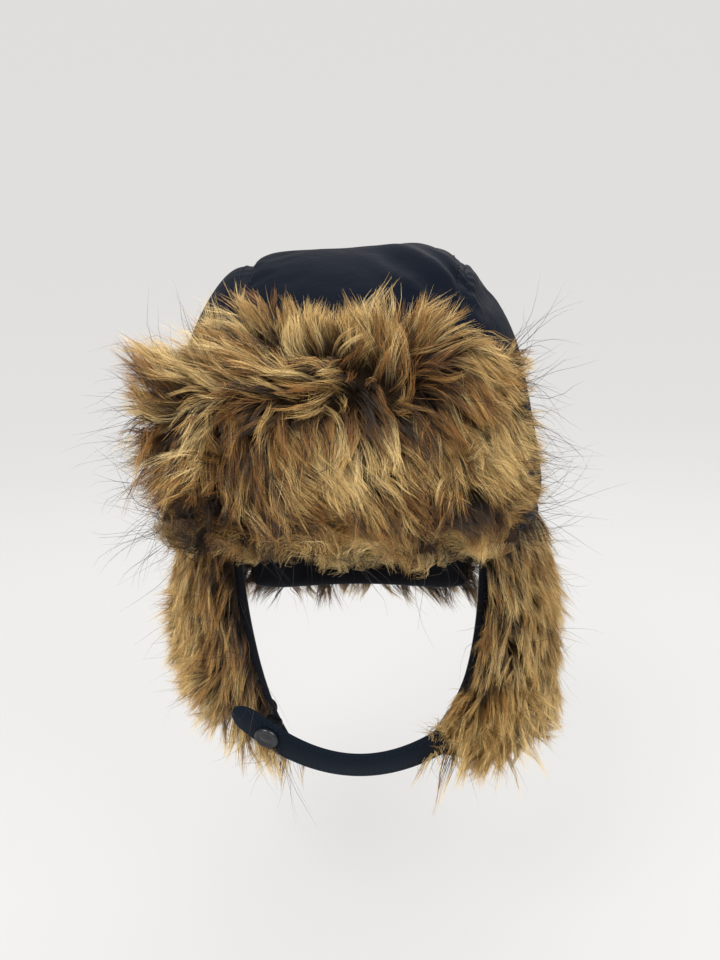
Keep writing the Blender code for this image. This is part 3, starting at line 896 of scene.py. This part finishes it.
class Coat:
    """How the fur of one flap grows: its comb chart, edge fans, lengths and colours."""

    def __init__(self, body, patch, domain, comb, fans, reach, seed, loft=None, droop=0.18, variety=1.0):
        self.body = body
        self.patch = patch
        self.domain = domain
        self.comb = comb
        self.fans = fans
        self.reach = reach
        self.seed = seed
        self.loft = loft or (lambda u, v: 0.0)
        self.droop = droop
        self.variety = variety

    def ways(self, u, v, rng, wild):
        """The lie of each lock and the tilt of its root at the edges, in the surface's own axes."""
        drift_u = u + 0.09 * waves(u, v, self.seed + 31, scale=7)
        drift_v = v + 0.08 * waves(u, v, self.seed + 32, scale=9)
        fx, fz = combed(self.comb, drift_u, drift_v)
        fx = fx + 0.42 * waves(u, v, self.seed + 1, scale=8) + 0.36 * waves(u, v, self.seed + 4, scale=18)
        fz = fz + 0.42 * waves(u, v, self.seed + 2, scale=8) + 0.36 * waves(u, v, self.seed + 5, scale=18)
        calm = np.hypot(fx, fz)
        turn = rng.normal(0, wild, len(u)) / np.clip(calm, 0.3, 1)
        fx, fz = fx * np.cos(turn) - fz * np.sin(turn), fx * np.sin(turn) + fz * np.cos(turn)
        low_u, high_u, low_v, high_v = self.fans
        ex = high_u * smooth((u - 0.72) / 0.28) - low_u * smooth((-u - 0.72) / 0.28)
        ez = high_v * smooth((v - 0.80) / 0.2) - low_v * smooth((0.2 - v) / 0.2)
        if self.patch.downward:
            ez = -ez
        lift = 0.19 + 0.55 * np.clip(1 - calm, 0, 1) + 0.07 * waves(u, v, self.seed + 3, scale=8)
        lift = lift + self.loft(u, v)
        return fx, fz, ex, ez, np.clip(lift + rng.normal(0, 0.05, len(u)), 0.02, 0.7)

    def guides(self, u, v, length, rng, points, wild, curl, droop, loose=0.0):
        """One curve per lock, from the root."""
        place, right, up, normal = self.patch.frame(u, v)
        fx, fz, ex, ez, lift = self.ways(u, v, rng, wild)
        lift = np.clip(lift + loose, 0, 0.9)
        lay = unit(fx[:, None] * right + fz[:, None] * up)
        rise = unit(normal + ex[:, None] * right + ez[:, None] * up)
        side = np.cross(normal, lay)
        t = np.linspace(0, 1, points)[None, :, None]
        lift = lift[:, None, None]
        weight = (1 - lift) * (0.35 + 0.65 * smooth(t * 1.6))
        phase = rng.uniform(0, FULL_TURN, (len(u), 1, 1))
        pitch = rng.uniform(0.35, 1.1, (len(u), 1, 1))
        wave = curl * rng.uniform(0.2, 1.0, (len(u), 1, 1)) * np.sin(phase + FULL_TURN * pitch * t)
        roll = 0.5 * wave * np.cos(phase * 2)
        steps = rise[:, None] * (1 - weight) + lay[:, None] * weight
        steps = steps + side[:, None] * wave + normal[:, None] * roll
        steps[..., 2] -= droop * (t[..., 0] ** 1.5)
        steps = unit(steps) * (length[:, None, None] / (points - 1))
        path = np.concatenate([np.zeros_like(steps[:, :1]), np.cumsum(steps[:, :-1], axis=1)], axis=1)
        return place[:, None] + path, right, up

    def scatter(self, count, rng):
        (u0, u1), (v0, v1) = self.domain
        return rng.uniform(u0, u1, count), rng.uniform(v0, v1, count)

    def tufted(self, path, gather, rng):
        """Draws neighbouring locks together into tufts. Returns the paths and their tufts' shades."""
        count = max(4, len(path) // 11)
        u, v = self.scatter(count, rng)
        reach = self.reach(u, v) * rng.uniform(0.85, 1.15, count)
        lead, _, _ = self.guides(u, v, reach, rng, path.shape[1], 0.36, 0.48, self.droop)
        apart = np.linalg.norm(path[:, None, 0] - lead[None, :, 0], axis=2)
        owner = np.argmin(apart, axis=1)
        t = np.linspace(0, 1, path.shape[1])[None, :, None]
        hold = gather * rng.uniform(0.5, 1.2, (len(path), 1, 1)) * smooth(t * 0.95)
        return path + (lead[owner] - path) * hold, rng.normal(0, 0.11, count)[owner]

    def locks(self, count, rng, gather=0.58):
        """Strands that gather into pointed locks. Returns their points and shades."""
        u, v = self.scatter(count, rng)
        lengths = self.reach(u, v) * rng.uniform(0.65, 1.15, count)
        path, right, up = self.guides(u, v, lengths, rng, LOCK_POINTS, 0.34, 0.50, self.droop)
        path, drift = self.tufted(path, gather, rng)
        tone = lock_shade(u, v, self.seed, rng, self.variety) + drift * self.variety
        owner = np.repeat(np.arange(count), STRANDS_IN_LOCK)
        total = len(owner)
        angle = rng.uniform(0, 2 * math.pi, total)
        away = LOCK_SPREAD * rng.uniform(0.5, 1.4, count)[owner] * np.sqrt(rng.uniform(0, 1, total))
        offset = (away * np.cos(angle))[:, None] * right[owner]
        offset = offset + (away * np.sin(angle))[:, None] * up[owner]
        share = rng.uniform(0.60, 1.06, total)
        t = np.linspace(0, 1, STRAND_POINTS)[None, :] * share[:, None]
        grid = np.clip(t, 0, 1) * (path.shape[1] - 1)
        low = np.clip(np.floor(grid).astype(int), 0, path.shape[1] - 2)
        part = (grid - low)[..., None]
        points = path[owner[:, None], low] * (1 - part) + path[owner[:, None], low + 1] * part
        hold = LOCK_CLUMP * rng.uniform(0.6, 1.15, total)[:, None, None] * smooth(t[..., None] * 1.1)
        points = points + offset[:, None] * (1 - hold)
        stray = rng.normal(0, 1, (total, 1, 3)) * rng.gamma(1.2, 0.0010, (total, 1, 1))
        points = points + stray * t[..., None] ** 1.5
        points = points + rng.normal(0, 0.00018, (total, STRAND_POINTS, 3)) * t[..., None]
        own_tone = np.clip(tone[owner] + rng.normal(0, 0.10, total), 0.0, DARKEST)
        own_tone = np.where(rng.uniform(0, 1, total) < 0.07, rng.uniform(0.80, DARKEST, total), own_tone)
        return points, own_tone

    def guard_hairs(self, count, reach, rng, hem=1.0):
        """Long thin dark hairs in small tufts that stand clear of the pile, mostly along the side edges."""
        (u0, u1), (v0, v1) = self.domain
        u = rng.beta(0.30, 0.30, count) * (u1 - u0) + u0
        v = rng.beta(hem, 1.0, count) * (v1 - v0) + v0
        by_hem = smooth((v - 0.7) / 0.25) * (np.abs(u) < 0.7)
        lengths = reach * rng.uniform(0.5, 1.15, count) * (1 - 0.5 * by_hem)
        path, _, _ = self.guides(u, v, lengths, rng, STRAND_POINTS, 1.3, 0.35, 0.05, loose=0.20)
        path = np.repeat(path, HAIRS_IN_TUFT, axis=0)
        t = np.linspace(0, 1, STRAND_POINTS)[None, :, None]
        path = path + rng.normal(0, 0.0065, (len(path), 1, 3)) * t**1.2
        path = path + rng.normal(0, 0.0030, (len(path), 1, 3)) * np.sin(math.pi * t)
        root = path[:, :1]
        path = root + (path - root) * rng.uniform(0.55, 1.1, (len(path), 1, 1))
        tone = np.where(rng.uniform(0, 1, len(path)) < 0.85, 0.98, 0.80)
        return path, tone


def lock_shade(u, v, seed, rng, variety):
    """Mostly golden locks, with drifts of brown and rust and a few dark ones."""
    drift = waves(u, v, seed + 21, scale=6) + 0.5 * waves(u, v, seed + 22, scale=14)
    tone = 0.27 + variety * (0.24 * drift + rng.normal(0, 0.17, len(u)))
    dark = rng.uniform(0, 1, len(u)) < 0.15 + 0.16 * drift * variety
    tone = np.where(dark, rng.uniform(0.60, 0.86, len(u)), tone)
    return np.clip(tone, 0.0, 0.86)


def shorten(points, axis, limit, sign, least=0.3):
    """Cuts back the strands whose tips pass a limit along an axis, without bending them."""
    root, tip = points[:, 0, axis], points[:, -1, axis]
    run = sign * (tip - root)
    room = np.clip(sign * (limit - root), 0, None)
    keep = np.where(run > room, room / np.maximum(run, 1e-6), 1.0)
    keep = np.clip(keep, least, 1.0)[:, None, None]
    return points[:, :1] + (points - points[:, :1]) * keep


def inside_box(points):
    """Keeps strands within the model's box, widened by a small margin."""
    low, high = np.array(CAD_BOX[0]), np.array(CAD_BOX[1])
    spare = (high - low) * 0.028 + 0.0090
    return np.clip(points, low - spare, high + spare)


def strand_mesh(name, points, radius, tone, material):
    """Three-sided tapering tubes, with (shade, way along) in the UV map."""
    points = inside_box(points)
    count, length, _ = points.shape
    along = unit(np.gradient(points, axis=1))
    pick = np.array([0.37, 0.61, 0.70])
    side = unit(np.cross(along, pick))
    other = np.cross(along, side)
    way = np.linspace(0, 1, length)
    taper = np.clip(1.0 - way**2.4, 0.10, 1) * np.clip(0.75 + way * 1.2, 0, 1)
    size = radius[:, None] * taper[None]
    rings = []
    for s in range(STRAND_SIDES):
        angle = 2 * math.pi * s / STRAND_SIDES
        rings.append(points + size[..., None] * (math.cos(angle) * side + math.sin(angle) * other))
    verts = np.stack(rings, axis=2).reshape(-1, 3)
    base = np.arange(count)[:, None, None] * length * STRAND_SIDES
    ring = np.arange(length - 1)[None, :, None] * STRAND_SIDES
    s = np.arange(STRAND_SIDES)[None, None]
    n = (s + 1) % STRAND_SIDES
    low, high = base + ring, base + ring + STRAND_SIDES
    corners = np.stack([low + s, low + n, high + n, high + s], axis=-1).reshape(-1)
    faces = len(corners) // 4
    mesh = bpy.data.meshes.new(name)
    mesh.vertices.add(len(verts))
    mesh.vertices.foreach_set("co", verts.ravel())
    mesh.loops.add(len(corners))
    mesh.loops.foreach_set("vertex_index", corners)
    mesh.polygons.add(faces)
    mesh.polygons.foreach_set("loop_start", np.arange(faces) * 4)
    mesh.polygons.foreach_set("use_smooth", np.ones(faces, bool))
    layer = mesh.uv_layers.new(name=UV_NAME)
    strand = corners // (length * STRAND_SIDES)
    step = (corners // STRAND_SIDES) % length
    uv = np.stack([np.clip(tone, 0.01, DARKEST)[strand], 0.01 + 0.98 * way[step]], axis=-1)
    layer.data.foreach_set("uv", uv.ravel())
    mesh.materials.append(material)
    mesh.update()
    mesh.validate()
    return link_new(name, mesh)


def add_strands(coat, points, tone, mats, rng):
    """Splits strands into pieces and puts them on their body."""
    order = rng.permutation(len(points))
    pieces = max(1, math.ceil(len(points) / STRANDS_IN_PIECE))
    for k in range(pieces):
        chosen = order[k::pieces]
        radius = STRAND_RADIUS * rng.uniform(0.65, 1.25, len(chosen))
        name = f"{coat.body}_strands_{k + 1}"
        obj = strand_mesh(name, points[chosen], radius, tone[chosen], mats["faux_fur"])
        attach(obj, coat.body)


def add_guard_hairs(coat, path, tone, mats, rng):
    radius = GUARD_RADIUS * rng.uniform(0.7, 1.2, len(path))
    obj = strand_mesh(f"{coat.body}_guard_hairs", path, radius, tone, mats["faux_fur"])
    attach(obj, coat.body)


def underfur(name, coat, thick, mats):
    """The knitted backing with its short dense undercoat, as one closed lumpy sheet."""
    (u0, u1), (v0, v1) = coat.domain
    us, vs = np.linspace(u0, u1, 60), np.linspace(v0, v1, 44)
    base = coat.patch.base - 0.0003

    def outer(u, v):
        return base + thick * (1 + 0.35 * waves(u, v, 5, scale=14))

    verts, faces = grid_slab(coat.patch.surface, us, vs, base, outer, round_edge=0.10)
    obj = add_mesh(name, verts, faces, mats["underfur"])
    face_out(obj)
    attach(obj, coat.body)
    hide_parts(f"{coat.body}_fur")


# How the fur of the front flap lies, from the brow (v = 0) to the top edge (v = 1)
FRONT_COMB = {
    "u": (-1.0, -0.6, -0.2, 0.2, 0.6, 1.0),
    "v": (0.0, 0.28, 0.54, 0.72, 0.88, 1.0),
    "degrees": (
        (195, -10, -25, -65, -110, -60),
        (172, -48, -38, -72, -72, -30),
        (158, -66, -46, -70, -62, -10),
        (152, 140, 128, -75, -50, 0),
        (148, 128, 112, 70, 35, 12),
        (140, 112, 84, 92, 58, 40),
    ),
}
# The ear flaps, from the face edge (u = -1) to the rear, and from the rim (v = 0) to the hem
EAR_COMBS = {
    "left": {
        "u": (-1.0, -0.5, 0.0, 0.5, 1.0),
        "v": (0.0, 0.35, 0.7, 1.0),
        "degrees": (
            (-95, -95, -92, -88, -80),
            (-128, -122, -112, -100, -86),
            (-158, -148, -132, -116, -95),
            (-165, -158, -142, -124, -100),
        ),
    },
    "right": {
        "u": (-1.0, -0.5, 0.0, 0.5, 1.0),
        "v": (0.0, 0.35, 0.7, 1.0),
        "degrees": (
            (-90, -88, -80, -80, -75),
            (-92, -85, -72, -72, -70),
            (-95, -80, -68, -68, -68),
            (-85, -72, -62, -66, -66),
        ),
    },
}
NECK_COMB = {
    "u": (-1.0, 0.0, 1.0),
    "v": (0.0, 0.5, 1.0),
    "degrees": ((-95, -90, -85), (-100, -88, -80), (-105, -92, -75)),
}
CHIN_COMB = {"u": (-1.0, 0.0), "v": (0.0, 1.0), "degrees": ((-160, -140), (-172, -150))}


def front_reach(u, v):
    length = 0.036 + 0.016 * smooth((-u - 0.55) / 0.45) - 0.013 * smooth((u - 0.45) / 0.4)
    length = length - 0.011 * smooth((0.28 - v) / 0.28)
    tufts = 0.008 * waves(u, v, 77, scale=7) * smooth((v - 0.6) / 0.3)
    flames = bell(u + 0.45, 0.09) + 0.6 * bell(u - 0.20, 0.10)
    tufts = tufts + 0.013 * flames * smooth((v - 0.7) / 0.2)
    return length - 0.004 * smooth((v - 0.75) / 0.2) + tufts


def curls(points, amount, rng):
    """Small loose curls for the strands by the brow."""
    t = np.linspace(0, 1, points.shape[1])[None, :]
    phase = 150 * points[:, :1, 0] + 110 * points[:, :1, 2] + rng.normal(0, 0.25, (len(points), 1))
    size = 0.0058 * amount[:, None] * t
    swing = size * np.sin(phase + 7 * t)
    lift = size * np.cos(phase + 7 * t)
    return np.stack([swing, -0.3 * lift, lift], axis=-1)


# The tall tufts and the dips along the front flap's top edge: (place across, height, width)
FRONT_FLAMES = [
    (-0.044, 0.028, 0.010),
    (-0.022, -0.010, 0.009),
    (0.021, 0.017, 0.011),
    (0.046, -0.006, 0.010),
]


def shape_front(points, rng):
    """Keeps the coat off the eyes and gives the flap its uneven top and its square sides."""
    x, z = points[:, 0, 0], points[:, 0, 2]
    ragged = 0.0095 * waves(x / 0.1, z / 0.1, 78, scale=9) + 0.0085 * waves(x / 0.1, z / 0.1, 79, scale=26)
    ragged = ragged + rng.normal(0, 0.0022, len(points))
    ceiling = 0.114 - 0.018 * smooth((np.abs(x + 0.005) - 0.040) / 0.07)
    ceiling = ceiling - 0.014 * smooth((x - 0.02) / 0.04) + ragged
    for place, height, width in FRONT_FLAMES:
        ceiling = ceiling + height * bell(x - place, width)
    right = 0.086 + 0.5 * ragged + 0.014 * bell(z - 0.035, 0.02)
    ceiling = ceiling - 0.009 * smooth((-x - 0.055) / 0.02)
    left = -0.101 - 0.037 * smooth((z - 0.030) / 0.060) - ragged
    points = shorten(points, 2, ceiling, 1)
    points = shorten(points, 0, right, 1)
    points = shorten(points, 0, left, -1)
    return shorten(points, 2, 0.0015 + 0.4 * ragged, -1, 0.35)


# The brow's amount is painted shade: the fur turning under at the brow lies in shadow.
BROW_PAINTED_SHADE = 0.68
BAND_SHADE = 0.05
CORNER_SHADE = 0.42
TIP_SHADE = 0.24
LEFT_LIGHT = 0.10


def front_patches_and_painted_shade(places):
    """Painted shade by the brow, where the fur turns under; darker in a band below the top and at the right
    corner; lighter on the wearer's left.
    """
    x, z = places[:, 0], places[:, 2]
    brow = BROW_PAINTED_SHADE * bell(z - 0.015, 0.013)
    band = BAND_SHADE * bell(z - 0.068, 0.011) * smooth((0.02 - x) / 0.04)
    corner = CORNER_SHADE * bell(z - 0.074, 0.010) * smooth((-x - 0.078) / 0.02)
    tip = TIP_SHADE * smooth((-x - 0.088) / 0.022) * smooth((z - 0.06) / 0.03)
    return brow + band + corner + tip - LEFT_LIGHT * smooth((x - 0.03) / 0.04)


def build_front_fur(mats):
    rng = np.random.default_rng(101)
    domain = ((-1.0, 0.86), (-0.04, 0.97))
    fans = (0.9, 0.3, 0.30, 0.6)
    patch = Patch(front_surface, FRONT_BACKING, False)
    coat = Coat("front_flap", patch, domain, FRONT_COMB, fans, front_reach, 110)
    underfur("front_flap_pile", coat, FRONT_PILE, mats)
    points, tone = coat.locks(LOCKS["front"], rng)
    low = smooth((0.034 - points[:, 0, 2]) / 0.03)
    points = shape_front(points, rng)
    points = points + curls(points, low, rng)
    x, z = points[:, 3, 0] / 0.1, points[:, 3, 2] / 0.1
    patchy = np.clip(0.9 + 0.8 * waves(x, z, 80, scale=34) + rng.normal(0, 0.15, len(points)), 0, 2)
    # Adds painted shade by the brow, besides darker and lighter patches of the fur's own colour.
    tone = tone - 0.06 + front_patches_and_painted_shade(points[:, 3]) * patchy + 0.09 * waves(x, z, 81, scale=46)
    tone = np.clip(tone, 0, 0.90)
    add_strands(coat, points, tone, mats, rng)
    add_guard_hairs(coat, *coat.guard_hairs(*GUARD_HAIRS["front"], rng), mats, rng)


def face_painted_shadow(roots):
    """Painted shadow: the locks beside the face are darker, down to the cheek, as the head's shadow would
    make them.
    """
    near = bell(np.abs(roots[:, 0]) - 0.062, 0.016) * smooth((-roots[:, 1] - 0.045) / 0.02)
    return 0.46 * near * smooth((roots[:, 2] + 0.112) / 0.03)


def chin_locks(coat, rng):
    """Long locks from the flap's lower front corner that fall over the sewn end of the strap."""
    domain = ((-1.0, -0.52), (0.66, 0.94))

    def reach(u, v):
        return 0.047 + 0.004 * u + 0 * v

    def loft(u, v):
        return 0.30 + 0 * u

    fans = (0.5, 0, 0, 0)
    chin = Coat(coat.body, coat.patch, domain, CHIN_COMB, fans, reach, 190, loft, 0.18, 0.65)
    return chin.locks(LOCKS["chin"], rng, gather=0.45)


def build_ear_fur(which, mats):
    shape = EAR_SHAPES[which]
    rng = np.random.default_rng(200 + shape["side"])
    body = f"ear_flap_{which}"
    domain = ((-1.0, 1.0), (0.01, 0.95))

    def reach(u, v):
        length = 0.031 - 0.011 * smooth((0.2 - v) / 0.2) - 0.007 * smooth((v - 0.75) / 0.2)
        chin = smooth((-u - 0.2) / 0.6) * smooth((v - 0.55) / 0.3)
        return length + shape["chin_fur"] * chin

    def loft(u, v):
        if shape["side"] < 0:
            return 0.18 * smooth((v - 0.35) / 0.3) * smooth((1.05 - v) / 0.2) + 0 * u
        return 0.20 * smooth((-u - 0.5) / 0.4) * smooth((v - 0.62) / 0.22)

    fans = (0.35, 0.7, 0.1, 0.4)
    patch = Patch(ear_surface(shape), FUR_BASE, True)
    coat = Coat(body, patch, domain, EAR_COMBS[which], fans, reach, 140 + shape["side"], loft, 0.09, 0.65)
    underfur(f"{body}_pile", coat, PILE, mats)
    points, tone = coat.locks(LOCKS["ear"], rng, gather=0.40)
    if shape["side"] > 0:
        more, more_tone = chin_locks(coat, rng)
        points, tone = np.concatenate([points, more]), np.concatenate([tone, more_tone])
    # The ear flaps' locks are shifted lighter than the front's. This is partly their own more golden colour
    # and partly painted light. Beside the face they get painted shadow.
    tone = np.clip(tone - 0.27 + face_painted_shadow(points[:, 0]), 0, DARKEST)
    add_strands(coat, points, tone, mats, rng)
    add_guard_hairs(coat, *coat.guard_hairs(*GUARD_HAIRS["ear"], rng, hem=1.6), mats, rng)


def build_neck_fur(mats):
    rng = np.random.default_rng(301)
    domain = ((-1.0, 1.0), (0.01, 0.98))

    def reach(u, v):
        return 0.033 - 0.012 * smooth((0.2 - v) / 0.2) + 0 * u

    fans = (0.6, 0.6, 0.1, 0.6)
    patch = Patch(neck_surface, FUR_BASE, True)
    coat = Coat("neck_flap", patch, domain, NECK_COMB, fans, reach, 170)
    underfur("neck_flap_pile", coat, PILE, mats)
    points, tone = coat.locks(LOCKS["neck"], rng)
    add_strands(coat, points, tone, mats, rng)
    add_guard_hairs(coat, *coat.guard_hairs(*GUARD_HAIRS["neck"], rng), mats, rng)


# ---- Strap and snap


def strap_line(x):
    return STRAP_LOW + STRAP_RISE * x * x


def strap_frame(x):
    """The middle of the strap's back face at x, and the ways across its width and out of its front."""
    slope = np.array((1.0, 0.0, 2 * STRAP_RISE * x))
    slope = slope / np.linalg.norm(slope)
    upright = np.array((-slope[2], 0.0, slope[0]))
    forward = np.array((0.0, -1.0, 0.0))
    wide = upright * math.cos(STRAP_TILT) + forward * math.sin(STRAP_TILT)
    out = forward * math.cos(STRAP_TILT) - upright * math.sin(STRAP_TILT)
    return np.array((x, STRAP_BACK_Y, strap_line(x))), wide, out


def build_strap(mats):
    """The band, its edges rolled and its tip rounded, with a row of stitches along both edges."""
    along = np.linspace(STRAP_TIP_X, STRAP_SEWN_X, 90)
    profile = [(-1.0, 0.5), (-0.985, 0.85), (-0.93, 1.0), (0.93, 1.0), (0.985, 0.85), (1.0, 0.5)]
    profile += [(0.985, 0.15), (0.93, 0.0), (-0.93, 0.0), (-0.985, 0.15)]
    verts = []
    for x in along:
        tip = min((x - STRAP_TIP_X) / (STRAP_WIDE / 2), 1.0)
        half = STRAP_WIDE / 2 * math.sqrt(max(1.0 - (1.0 - tip) ** 2, 0.01))
        middle, wide, forward = strap_frame(x)
        for across, out in profile:
            verts.append(middle + wide * across * half + forward * out * STRAP_THICK)
    size = len(profile)
    faces = tube_quads(len(along), size, True)
    faces.append(tuple(range(size)))
    faces.append(tuple(range(len(verts) - size, len(verts)))[::-1])
    band = add_mesh("strap_band", verts, faces, mats["navy_strap"])
    face_out(band)
    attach(band, "chin_strap")
    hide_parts("chin_strap_band")
    for row, across in (("upper", 0.8), ("lower", -0.8)):
        path, normals = [], []
        for x in along[6:]:
            middle, wide, forward = strap_frame(x)
            path.append(middle + wide * across * STRAP_WIDE / 2 + forward * (STRAP_THICK + 0.00005))
            normals.append(forward)
        name = f"strap_stitches_{row}"
        row_piece = stitches(name, path, normals, mats["navy_thread"], *STRAP_STITCH)
        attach(row_piece, "chin_strap")


def turned(name, profile, centre, axis, material, count=72):
    """A solid of revolution about axis: profile lists (radius, height)."""
    turn = Vector(axis).to_track_quat("Z", "Y").to_matrix()
    verts, faces, rings = [], [], []
    for radius, height in profile:
        ring = []
        steps = 1 if radius == 0 else count
        for i in range(steps):
            angle = 2 * math.pi * i / count
            ring.append(len(verts))
            spoke = Vector((radius * math.cos(angle), radius * math.sin(angle), height))
            verts.append(Vector(centre) + turn @ spoke)
        rings.append(ring)
    for low, high in zip(rings, rings[1:]):
        for i in range(count):
            k = (i + 1) % count
            if len(low) == 1:
                faces.append((low[0], high[i], high[k]))
            elif len(high) == 1:
                faces.append((low[i], high[0], low[k]))
            else:
                faces.append((low[i], high[i], high[k], low[k]))
    obj = add_mesh(name, verts, faces, material)
    face_out(obj)
    return obj


def build_snap(mats):
    """The snap's cap: a rolled rim, a shallow dish and a low dome in the middle."""
    middle, _, out = strap_frame(SNAP_X)
    base = middle + out * (STRAP_THICK + SNAP_GAP)
    shares = [(0, 0), (0.95, 0), (1.0, 0.12), (1.0, 0.5), (0.97, 0.78), (0.90, 0.95), (0.83, 1.0)]
    shares += [(0.77, 0.94), (0.72, 0.76), (0.66, 0.66), (0.56, 0.66), (0.40, 0.78), (0.22, 0.88)]
    shares += [(0.08, 0.92), (0, 0.92)]
    profile = [(SNAP_RADIUS * radius, SNAP_TALL * height) for radius, height in shares]
    cap = turned("snap_cap_domed", profile, base, out, mats["snap_lacquer"])
    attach(cap, "chin_strap")
    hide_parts("snap_cap")


def dress_cad_nodes(mats):
    """Better materials for the CAD nodes that stay."""
    wanted = {
        "care_label": "blank_label",
        "crown_hook_patch": "black_tape",
        "front_flap_loop_patch": "black_tape",
        "snap_socket": "snap_lacquer",
        "snap_stud": "snap_lacquer",
        "snap_stud_back": "snap_lacquer",
    }
    for name, mat in wanted.items():
        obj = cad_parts[name]
        for slot in obj.material_slots:
            slot.material = mats[mat]


# ---- Stage


def build_stage():
    """A seamless pale bowl: floor, soft turn-up and wall in one sheet, glowing evenly like a light tent."""
    flat = BOWL_RADIUS - BOWL_TURN
    profile = [(0.0, FLOOR_Z), (0.6, FLOOR_Z), (flat, FLOOR_Z)]
    for i in range(1, BOWL_STEPS + 1):
        angle = math.pi / 2 * i / BOWL_STEPS
        profile.append((flat + BOWL_TURN * math.sin(angle), FLOOR_Z + BOWL_TURN * (1 - math.cos(angle))))
    profile.append((BOWL_RADIUS, FLOOR_Z + BOWL_WALL))
    verts = []
    for r, z in profile:
        for j in range(BOWL_SIDES):
            angle = 2 * math.pi * j / BOWL_SIDES
            verts.append((r * math.cos(angle), r * math.sin(angle), z))
    mat, _, shader = new_material("stage_paint", STAGE_PAINT, 1.0)
    shader.inputs["Specular IOR Level"].default_value = 0.0
    shader.inputs["Emission Color"].default_value = (*STAGE_GLOW, 1.0)
    shader.inputs["Emission Strength"].default_value = 1.0
    bowl = add_mesh("stage_bowl", verts, tube_quads(len(profile), BOWL_SIDES), mat)


# Lights: name, place, target, size, power, colour
LIGHTS = [
    ("key_light", (-0.9, -1.3, 1.5), (0, 0, 0.02), 1.0, 38, (1.0, 0.98, 0.95)),
    ("fill_light", (1.7, -1.7, 1.25), (0, 0, -0.07), 1.8, 50, (0.97, 0.98, 1.0)),
    ("top_light", (0.0, 0.2, 2.0), (0, 0, 0), 2.0, 18, (1, 1, 1)),
    ("back_light", (0.8, 1.7, 1.6), (0, 0, 0), 1.6, 9, (1, 1, 1)),
]


def add_light(name, place, target, size, power, colour):
    light = bpy.data.lights.new(name, "AREA")
    light.shape = "DISK"
    light.size = size
    light.energy = power
    light.color = colour
    obj = link_new(name, light)
    obj.location = place
    obj.visible_camera = False
    aim = Vector(target) - Vector(place)
    obj.rotation_euler = aim.to_track_quat("-Z", "Y").to_euler()


def build_lights():
    for light in LIGHTS:
        add_light(*light)
    world = bpy.data.worlds.new("studio")
    world.use_nodes = True
    sky = world.node_tree.nodes["Background"]
    sky.inputs["Color"].default_value = (*SKY_COLOUR, 1)
    sky.inputs["Strength"].default_value = SKY_STRENGTH
    bpy.context.scene.world = world
    bpy.context.scene.view_settings.view_transform = "Standard"


def build_camera():
    camera = bpy.data.cameras.new("camera")
    camera.lens = CAMERA_LENS
    camera.sensor_width = 36.0
    camera.clip_start = 0.01
    obj = link_new("camera", camera)
    obj.location = CAMERA_PLACE
    obj.rotation_euler = (math.pi / 2 - CAMERA_PITCH, 0.0, 0.0)
    bpy.context.scene.camera = obj


def main():
    build_camera()
    mats = make_materials()
    build_crown(mats)
    build_pads(mats)
    build_front_fur(mats)
    for which in EAR_SHAPES:
        build_ear_fur(which, mats)
    build_neck_fur(mats)
    build_strap(mats)
    build_snap(mats)
    dress_cad_nodes(mats)
    build_stage()
    build_lights()


main()
